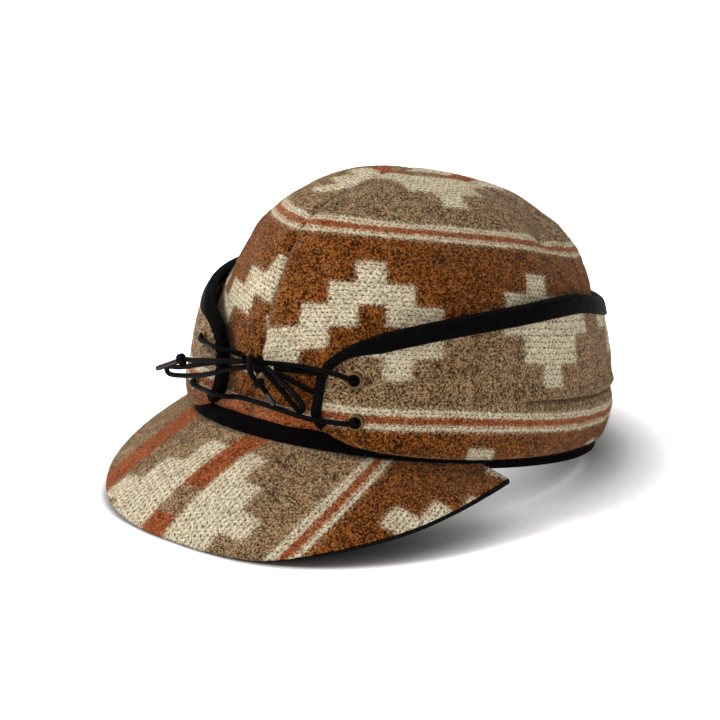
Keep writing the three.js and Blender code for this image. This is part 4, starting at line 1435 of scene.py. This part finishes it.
# %% [markdown]
# ## Nap
# Loose fibres stand off the wool and soften its outline. Each one is a very thin blade that leans a random
# way and keeps the cloth place of its root, so it has the colour of the yarn that it grows from.

# %% Nap
FIBRE_LENGTH = 1.5
FIBRE_HALF_WIDTH = 0.045
HEAD_MIDDLE = np.array((0, REST_FORWARD, 30)) * MILLIMETRE


def nap(cloth, count, seed):
    mesh = cloth.data
    random = np.random.default_rng(seed)
    mesh.calc_loop_triangles()
    corners = read_all(mesh.loop_triangles, "vertices", 3, int)
    loops = read_all(mesh.loop_triangles, "loops", 3, int)
    looks = read_all(mesh.loop_triangles, "material_index", 1, int).ravel()
    a, b, c = read_all(mesh.vertices, "co", 3)[corners].transpose(1, 0, 2)
    flat_corners = read_all(mesh.uv_layers[CLOTH_MAP].data, "uv", 2)[loops].transpose(1, 0, 2)
    normal = np.cross(b - a, c - a)
    area = np.linalg.norm(normal, axis=1)
    normal /= np.maximum(area, 1e-12)[:, None]
    outer = (normal * ((a + b + c) / 3 - HEAD_MIDDLE)).sum(1) > 0
    weight = area * outer * (looks == 0)
    chosen = random.choice(len(area), count, p=weight / weight.sum())
    s, t = random.random((2, count))
    swap = s + t > 1
    s[swap], t[swap] = 1 - s[swap], 1 - t[swap]

    def mixed(p, q, r):
        return p[chosen] + s[:, None] * (q - p)[chosen] + t[:, None] * (r - p)[chosen]

    root, spot = mixed(a, b, c), mixed(*flat_corners)
    lean = random.normal(size=(count, 3))
    lean -= normal[chosen] * (lean * normal[chosen]).sum(1)[:, None]
    way = unit(normal[chosen] * random.uniform(0.25, 1.0, count)[:, None] + unit(lean))
    long = FIBRE_LENGTH * MILLIMETRE * random.uniform(0.5, 1.3, count)[:, None]
    wide = np.cross(way, normal[chosen])
    wide /= np.maximum(np.linalg.norm(wide, axis=1), 1e-6)[:, None]
    wide *= FIBRE_HALF_WIDTH * MILLIMETRE
    points = np.stack([root - wide, root + wide, root + way * long], 1).reshape(-1, 3)
    points[:, 2] = np.maximum(points[:, 2], 0)
    faces = np.arange(3 * count).reshape(-1, 3).tolist()
    name = cloth.name.replace("cloth", "nap")
    return make_object(name, points, faces, np.repeat(spot, 3, axis=0), smooth=False)


NAP_COUNTS = {"crown_left": 42000, "crown_right": 26000, "crown_back": 16000, "earband_left": 36000,
              "earband_right": 26000, "visor": 22000}
for seed, (name, count) in enumerate(NAP_COUNTS.items()):
    cloth = bpy.data.objects[f"{name}_cloth"]
    fibres = nap(cloth, count, seed)
    dress(fibres, cloth.data.materials[0], name.split("_")[0] + "_wool")
    print(fibres.name, count, "fibres")

# %% [markdown]
# ## Floor and light
# The cap stands on a plain white floor in a bright, even studio. A large soft light hangs above and to the
# camera's left, a weaker one fills the right, a third comes from behind, and a white sky lifts the shadows.
# The floor glows, so that it stays white. Near the cap, two readings of how open the sky is dim the glow and
# darken the floor's colour. This paints a soft shadow round the cap and a dark one under it.

# %% Floor and light
FLOOR_HALF = 6
SHADOWS = ((0.055, 3.5), (0.02, 1.2))
FLOOR_GLOW = 0.8
SKY_STRENGTH = 0.62

corners = FLOOR_HALF * np.array([(-1, -1, 0), (1, -1, 0), (1, 1, 0), (-1, 1, 0)], float)
floor = make_object("floor", corners, [(0, 1, 2, 3)])
material, tree, shader = new_material("floor_paper", 0.9, specular=0.1)
(wide, steep), (narrow, gentle) = SHADOWS
open_sky = add_node(tree, "ShaderNodeAmbientOcclusion", {"Distance": wide}, "AO").maths("POWER", steep)
contact = add_node(tree, "ShaderNodeAmbientOcclusion", {"Distance": narrow}, "AO").maths("POWER", gentle)
# Painted shadow: the share of the floor's glow that is left where the cap hides the sky
outside_painted_shadow = open_sky * contact
mottle = noise(tree, room_place(tree, 3), 1.0)
paper = blend_colour(tree, mottle, (0.93, 0.93, 0.93, 1), (0.96, 0.96, 0.96, 1))
join(blend_colour(tree, outside_painted_shadow, BLACK, WHITE), shader["Emission Color"])
# Painted shadow in the floor's colour too: dark grey-brown where the cap hides the sky
join(blend_colour(tree, outside_painted_shadow, (0.2, 0.19, 0.18, 1), paper), shader["Base Color"])
shader["Emission Strength"].default_value = FLOOR_GLOW
floor.data.materials.append(material)

world = bpy.data.worlds.new("studio")
bpy.context.scene.world = world
world.use_nodes = True
sky = world.node_tree.nodes["Background"].inputs
sky["Color"].default_value = WHITE
sky["Strength"].default_value = SKY_STRENGTH


def soft_light(name, place, target, size, power):
    light = bpy.data.objects.new(name, bpy.data.lights.new(name, "AREA"))
    light.data.size = size
    light.data.energy = power
    light.location = place
    light.rotation_euler = (Vector(target) - Vector(place)).to_track_quat("-Z", "Y").to_euler()
    bpy.context.scene.collection.objects.link(light)


LIGHTS = {
    "key": ((-0.8, -0.85, 1.4), (0, 0, 0.05), 0.6, 34),
    "fill": ((0.9, -1.5, 0.5), (0, 0, 0.05), 1.0, 8.5),
    "rim": ((-0.4, 1.2, 1.4), (0, 0, 0.08), 1.0, 12),
}
for name, values in LIGHTS.items():
    soft_light(name, *values)
bpy.context.scene.view_settings.view_transform = "Standard"
print("lights", len(LIGHTS))
